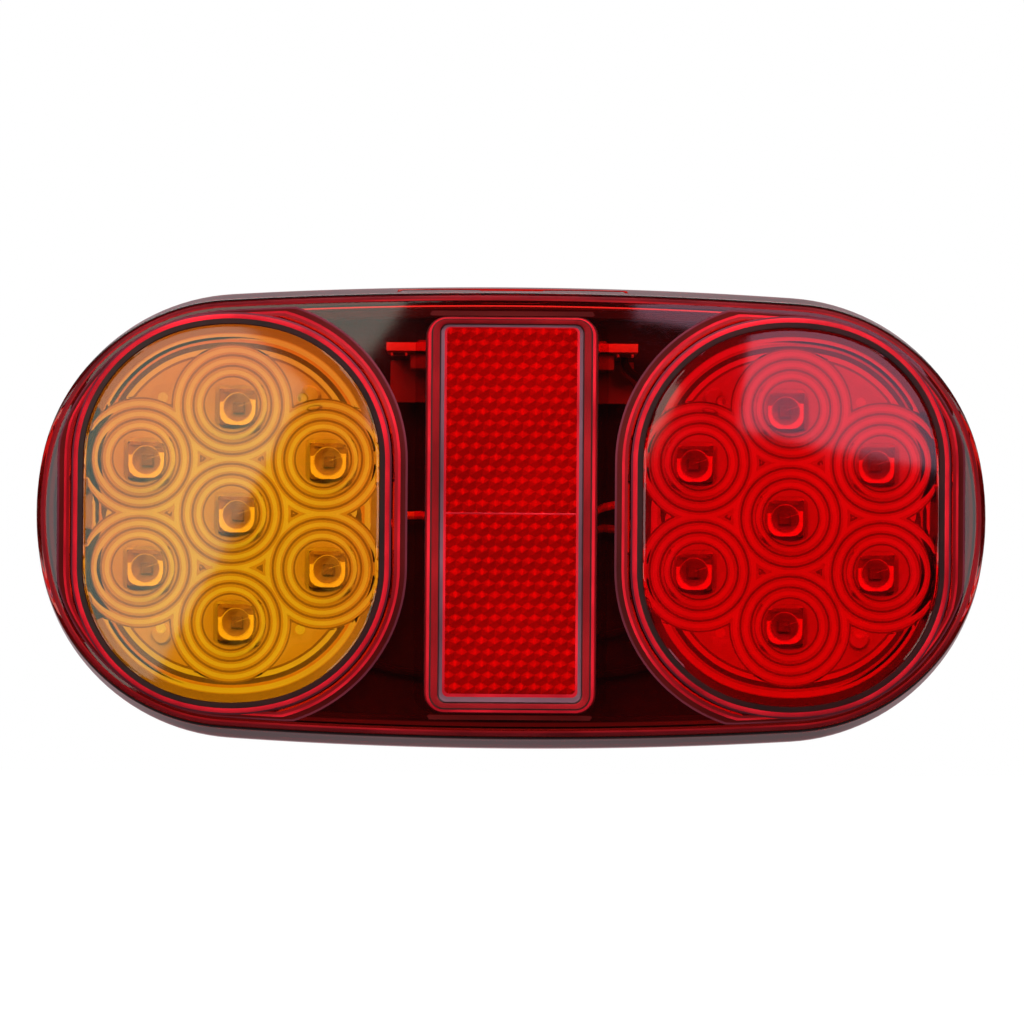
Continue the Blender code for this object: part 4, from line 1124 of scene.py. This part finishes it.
def make_stud(hand):
    low, high, x = axis_box(f"mounting_stud_{hand}")
    head = min((high.x - low.x) / 2 * math.cos(math.pi / 6), 4.0)
    steps = ((3.2, 1.12, low.y), (3.65, 1.12, low.y + 0.25), (head, math.inf, low.y + 0.7),
             (head, math.inf, -5.6), (head, 1.1, NECK_Y))
    loops = [at_depth(hexagon(half, half * cap), y, (x, 0.0)) for half, cap, y in steps]
    neck = ((STUD_RADIUS + 0.05, NECK_Y), (STUD_RADIUS, -5.2), (STUD_RADIUS, 0.3))
    loops += stack(lambda radius: circle(radius, 48), neck, (x, 0.0))
    bm = bmesh.new()
    skin(bm, loops, caps=(True, True))

    def shape(y, ridge):
        taper = TIP_DEPTH * max(0.0, (y - (high.y - TIP_LENGTH)) / TIP_LENGTH)
        return STUD_RADIUS - max(THREAD_DEPTH * ridge if y > 0.4 else 0.0, taper)

    start, step = 0.25, THREAD_PITCH / 8
    depths = [start + row * step for row in range(int(round((high.y - start) / step)) + 1)]
    skin(bm, thread_loops(x, depths, 24, shape), caps=(True, True))
    add_piece(f"stud_threaded_{hand}", bm, [ZINC], "zinc_steel", f"mounting_stud_{hand}")


def make_nut(hand):
    low, high, x = axis_box(f"stud_nut_{hand}")
    steps = ((4.0, low.y), (4.45, low.y + 0.28), (math.inf, low.y + 0.45), (math.inf, high.y - 0.45),
             (4.45, high.y - 0.28), (4.0, high.y))
    loops = stack(lambda cap: hexagon(NUT_HALF - 0.01, cap), steps, (x, 0.0))

    def shape(y, ridge):
        mouth = 0.4 - min(y - low.y, high.y - y)
        return BORE_RADIUS + max(0.3 * ridge, mouth * 1.1)

    depths = [high.y - (high.y - low.y) * row / 32 for row in range(33)]
    bm = bmesh.new()
    skin(bm, loops + thread_loops(x, depths, 48, shape), ring=True)
    add_piece(f"nut_hexagon_{hand}", bm, [ZINC], "zinc_steel", f"stud_nut_{hand}", body=f"nut_{hand}")


def make_washers(hand):
    """A flat washer, and a spring washer: one turn of square wire, cut through and risen at the cut."""
    low, high, x = axis_box(f"flat_washer_{hand}")
    bm = bmesh.new()
    lathe(bm, [(2.85, low.y + 0.06), (2.95, low.y), (4.8, low.y), (4.96, low.y + 0.1), (5.0, low.y + 0.3),
               (5.0, high.y - 0.15), (4.9, high.y), (3.0, high.y), (2.82, high.y - 0.2)], 48, (x, 0.0))
    add_piece(f"washer_flat_{hand}", bm, [ZINC], "zinc_steel", f"flat_washer_{hand}", body=f"washers_{hand}")
    low, high = node_box(f"spring_washer_{hand}")
    gap = math.radians(8.0)
    rise = 0.6
    thick = high.y - low.y - rise
    wire = ((2.87, 0.12), (2.97, 0.0), (4.45, 0.0), (4.58, 0.14), (4.58, thick - 0.14), (4.45, thick),
            (2.97, thick), (2.87, thick - 0.12))
    loops = []
    for share in [step / 44 for step in range(45)]:
        angle = gap + (2 * math.pi - 2 * gap) * share
        loops.append([about(x, low.y + rise * share + y, radius, angle) for radius, y in wire])
    bm = bmesh.new()
    skin(bm, loops, caps=(True, True))
    add_piece(f"washer_spring_{hand}", bm, [ZINC], "zinc_steel", f"spring_washer_{hand}", body=f"washers_{hand}")


def make_grommet():
    """A flanged ring with four sealing lips round the cable's way."""
    low, high = node_box("cable_grommet")
    flange = (high.x - low.x) / 2
    profile = [(3.75, low.y), (6.9, low.y), (flange - 0.15, low.y + 0.25), (flange, low.y + 0.7), (flange, -5.1),
               (flange - 0.2, -4.85), (5.9, -4.82), (5.72, -4.65), (5.72, -1.85), (5.9, -1.68), (flange - 0.2, -1.62),
               (flange, -1.4), (flange - 0.1, high.y - 0.45), (flange - 0.6, high.y - 0.12), (5.4, high.y - 0.1),
               (5.0, high.y), (4.0, high.y), (3.68, high.y - 0.3), (3.62, -1.4), (3.85, -1.9), (3.62, -2.4),
               (3.85, -2.9), (3.62, -3.4), (3.85, -3.9), (3.62, -4.4), (3.62, low.y + 0.2)]
    bm = bmesh.new()
    lathe(bm, profile, 56, ((low.x + high.x) / 2, (low.z + high.z) / 2))
    add_piece("grommet_ribbed", bm, [SOLIDS["grommet_black"]], "grommet_rubber", "cable_grommet")


# ---------- stage ----------

def add_to_scene(name, data, location):
    obj = bpy.data.objects.new(name, data)
    obj.location = location
    bpy.context.scene.collection.objects.link(obj)
    return obj


def aim_at(obj, target, roll=0.0):
    """Points a light or camera at a place, then rolls it by degrees."""
    obj.rotation_euler = (Vector(target) - obj.location).to_track_quat("-Z", "Y").to_euler()
    obj.rotation_euler.rotate_axis("Z", math.radians(roll))


def add_area(name, centre, size, radiance, colour=(1.0, 1.0, 1.0), ahead=None, seen=True):
    """A soft rectangular light aimed at the lamp, or straight ahead with a roll of ahead degrees.

    seen=False keeps it out of reflections, for an even fill.
    """
    light = bpy.data.lights.new(name, "AREA")
    light.shape = "RECTANGLE"
    light.size, light.size_y = size
    light.energy = radiance * math.pi * size[0] * size[1]
    light.color = colour
    obj = add_to_scene(name, light, centre)
    obj.visible_glossy = obj.visible_transmission = seen
    if ahead is None:
        aim_at(obj, (0.0, -0.02, 0.0))
    else:
        obj.rotation_euler = (math.pi / 2, 0.0, 0.0)
        obj.rotation_euler.rotate_axis("Z", math.radians(ahead))


def make_lights():
    add_area("key_left", (-0.66, -0.74, 0.36), (0.36, 0.80), 2.4)
    add_area("key_right", (0.66, -0.74, 0.36), (0.36, 0.80), 2.2)
    add_area("key_back", (0.0, 1.0, 1.15), (2.4, 0.8), 1.6)
    add_area("patch_left", (-0.292, -1.2, 0.075), (0.43, 0.35), 2.5, (0.75, 1.0, 0.85), ahead=55.0)
    add_area("patch_right", (0.222, -1.2, 0.207), (0.30, 0.24), 2.2, (1.0, 0.68, 0.95), ahead=-8.5)
    add_area("fill_left", (-0.45, -0.9, 0.55), (0.5, 0.5), 19.5, seen=False)
    add_area("fill_right", (0.50, -0.9, 0.45), (0.5, 0.5), 14.0, seen=False)
    add_area("fill_top", (0.0, -0.35, 0.95), (0.8, 0.5), 15.0, seen=False)
    add_area("fill_floor", (0.0, -0.35, -0.7), (1.2, 0.6), 2.0, seen=False)
    add_area("fill_back", (0.3, 0.9, 0.9), (0.7, 0.5), 14.0, seen=False)


def make_world():
    """White straight behind the lamp, dim and faintly red beside that, nearly dark in front.

    The camera itself sees white everywhere.
    """
    world = bpy.data.worlds.new("studio")
    bpy.context.scene.world = world
    world.use_nodes = True
    nodes = Nodes(world.node_tree)
    background = nodes.tree.nodes["Background"]
    split = nodes.add("ShaderNodeSeparateXYZ")
    nodes.link(nodes.add("ShaderNodeTexCoord").outputs["Generated"], split.inputs["Vector"])
    levels = ((0.0, 0.03), (0.45, 0.04), (0.55, 0.145), (0.9955, 0.145), (0.998, 1.0))
    backward = nodes.span(split.outputs["Y"], From_Min=-1.0)
    camera = nodes.add("ShaderNodeLightPath").outputs["Is Camera Ray"]
    strength = nodes.add("ShaderNodeMath", operation="MAXIMUM")
    nodes.link(nodes.ramp(backward, [(spot, (level,) * 3) for spot, level in levels]), strength.inputs[0])
    nodes.link(camera, strength.inputs[1])
    nodes.link(strength.outputs["Value"], background.inputs["Strength"])
    tint = nodes.add("ShaderNodeVectorMath", operation="MAXIMUM")
    tint.inputs[0].default_value = (1.0, 0.70, 0.74)
    nodes.link(camera, tint.inputs[1])
    nodes.link(tint.outputs["Vector"], background.inputs["Color"])


def make_floor():
    surface = Surface("studio_floor")
    surface.tones(3.0, (0.2, (0.80,) * 3), (0.8, (0.86,) * 3))
    surface.set(Roughness=0.7, Emission_Color=(1.0, 1.0, 1.0, 1.0), Emission_Strength=1.0)
    bm = bmesh.new()
    bmesh.ops.create_grid(bm, x_segments=2, y_segments=2, size=4.0)
    mesh = bpy.data.meshes.new("studio_floor")
    bm.to_mesh(mesh)
    bm.free()
    mesh.materials.append(surface.material)
    floor = add_to_scene("studio_floor", mesh, (0.0, 0.0, -0.22))
    floor.visible_glossy = floor.visible_diffuse = floor.visible_transmission = False


def make_camera():
    """A long lens in front of the lamp, a little low, rolled slightly as a hand-held shot."""
    distance = 0.85
    view_width = 0.1998
    below = 0.015
    aim = Vector((0.00018, -0.003, 0.00113))
    camera = bpy.data.cameras.new("camera")
    camera.sensor_width = 36.0
    camera.lens = camera.sensor_width * distance / view_width
    obj = add_to_scene("camera", camera, (aim.x, aim.y - distance, aim.z - below))
    aim_at(obj, aim, 0.43)
    bpy.context.scene.camera = obj
    bpy.context.scene.view_settings.view_transform = "Standard"


make_camera()
make_lights()
make_floor()
make_world()
make_cover()
make_lenses()
make_reflector()
make_prisms()
make_leds("indicator", "amber", 7, EPOXY_AMBER, "led_cup_brown")
make_leds("stop_tail", "red", 7, EPOXY_RED, "led_cup_dark")
make_leds("licence", "white", 3, EPOXY_WHITE, "led_cup_brown", faces_up=True)
make_board("indicator_board", -1)
make_board("stop_tail_board", 1)
make_licence_window()
for hand in ("left", "right"):
    make_stud(hand)
    make_nut(hand)
    make_washers(hand)
make_grommet()
for node, name, material, slot, width in (
        ("housing", "housing_tray", "housing_black", "black_plastic", 0.3),
        ("perimeter_seal", "sealing_compound", "sealant_black", "sealant", 0.2),
        ("reflector_backing", "backing_plate", "backing_red", "reflector_back", 0.3),
        ("licence_board_carrier", "carrier_frame", "carrier_white", "white_plastic", 0.25)):
    make_softened(node, name, SOLIDS[material], slot, width)
# Its board takes the lighter, painted-lit copy of the board's white.
make_softened("licence_board", "licence_board_edge", LIT_LICENCE_BOARD, "white_board", 0.6)
for wire, colour in (("indicator", "yellow"), ("stop", "red"), ("tail", "brown"), ("licence_feed", "brown"),
                     ("earth", "black"), ("earth_link", "black"), ("licence_earth", "black")):
    sheath = f"{colour}_sheath"
    make_softened(f"{wire}_wire", f"{wire}_wire_sheath", SOLIDS[sheath], sheath, 0.0)
for board in ("indicator", "stop_tail", "licence"):
    for part in ("resistor_1", "resistor_2", "diode"):
        if (board, part) != ("licence", "diode"):
            make_chip(f"{board}_{part}")
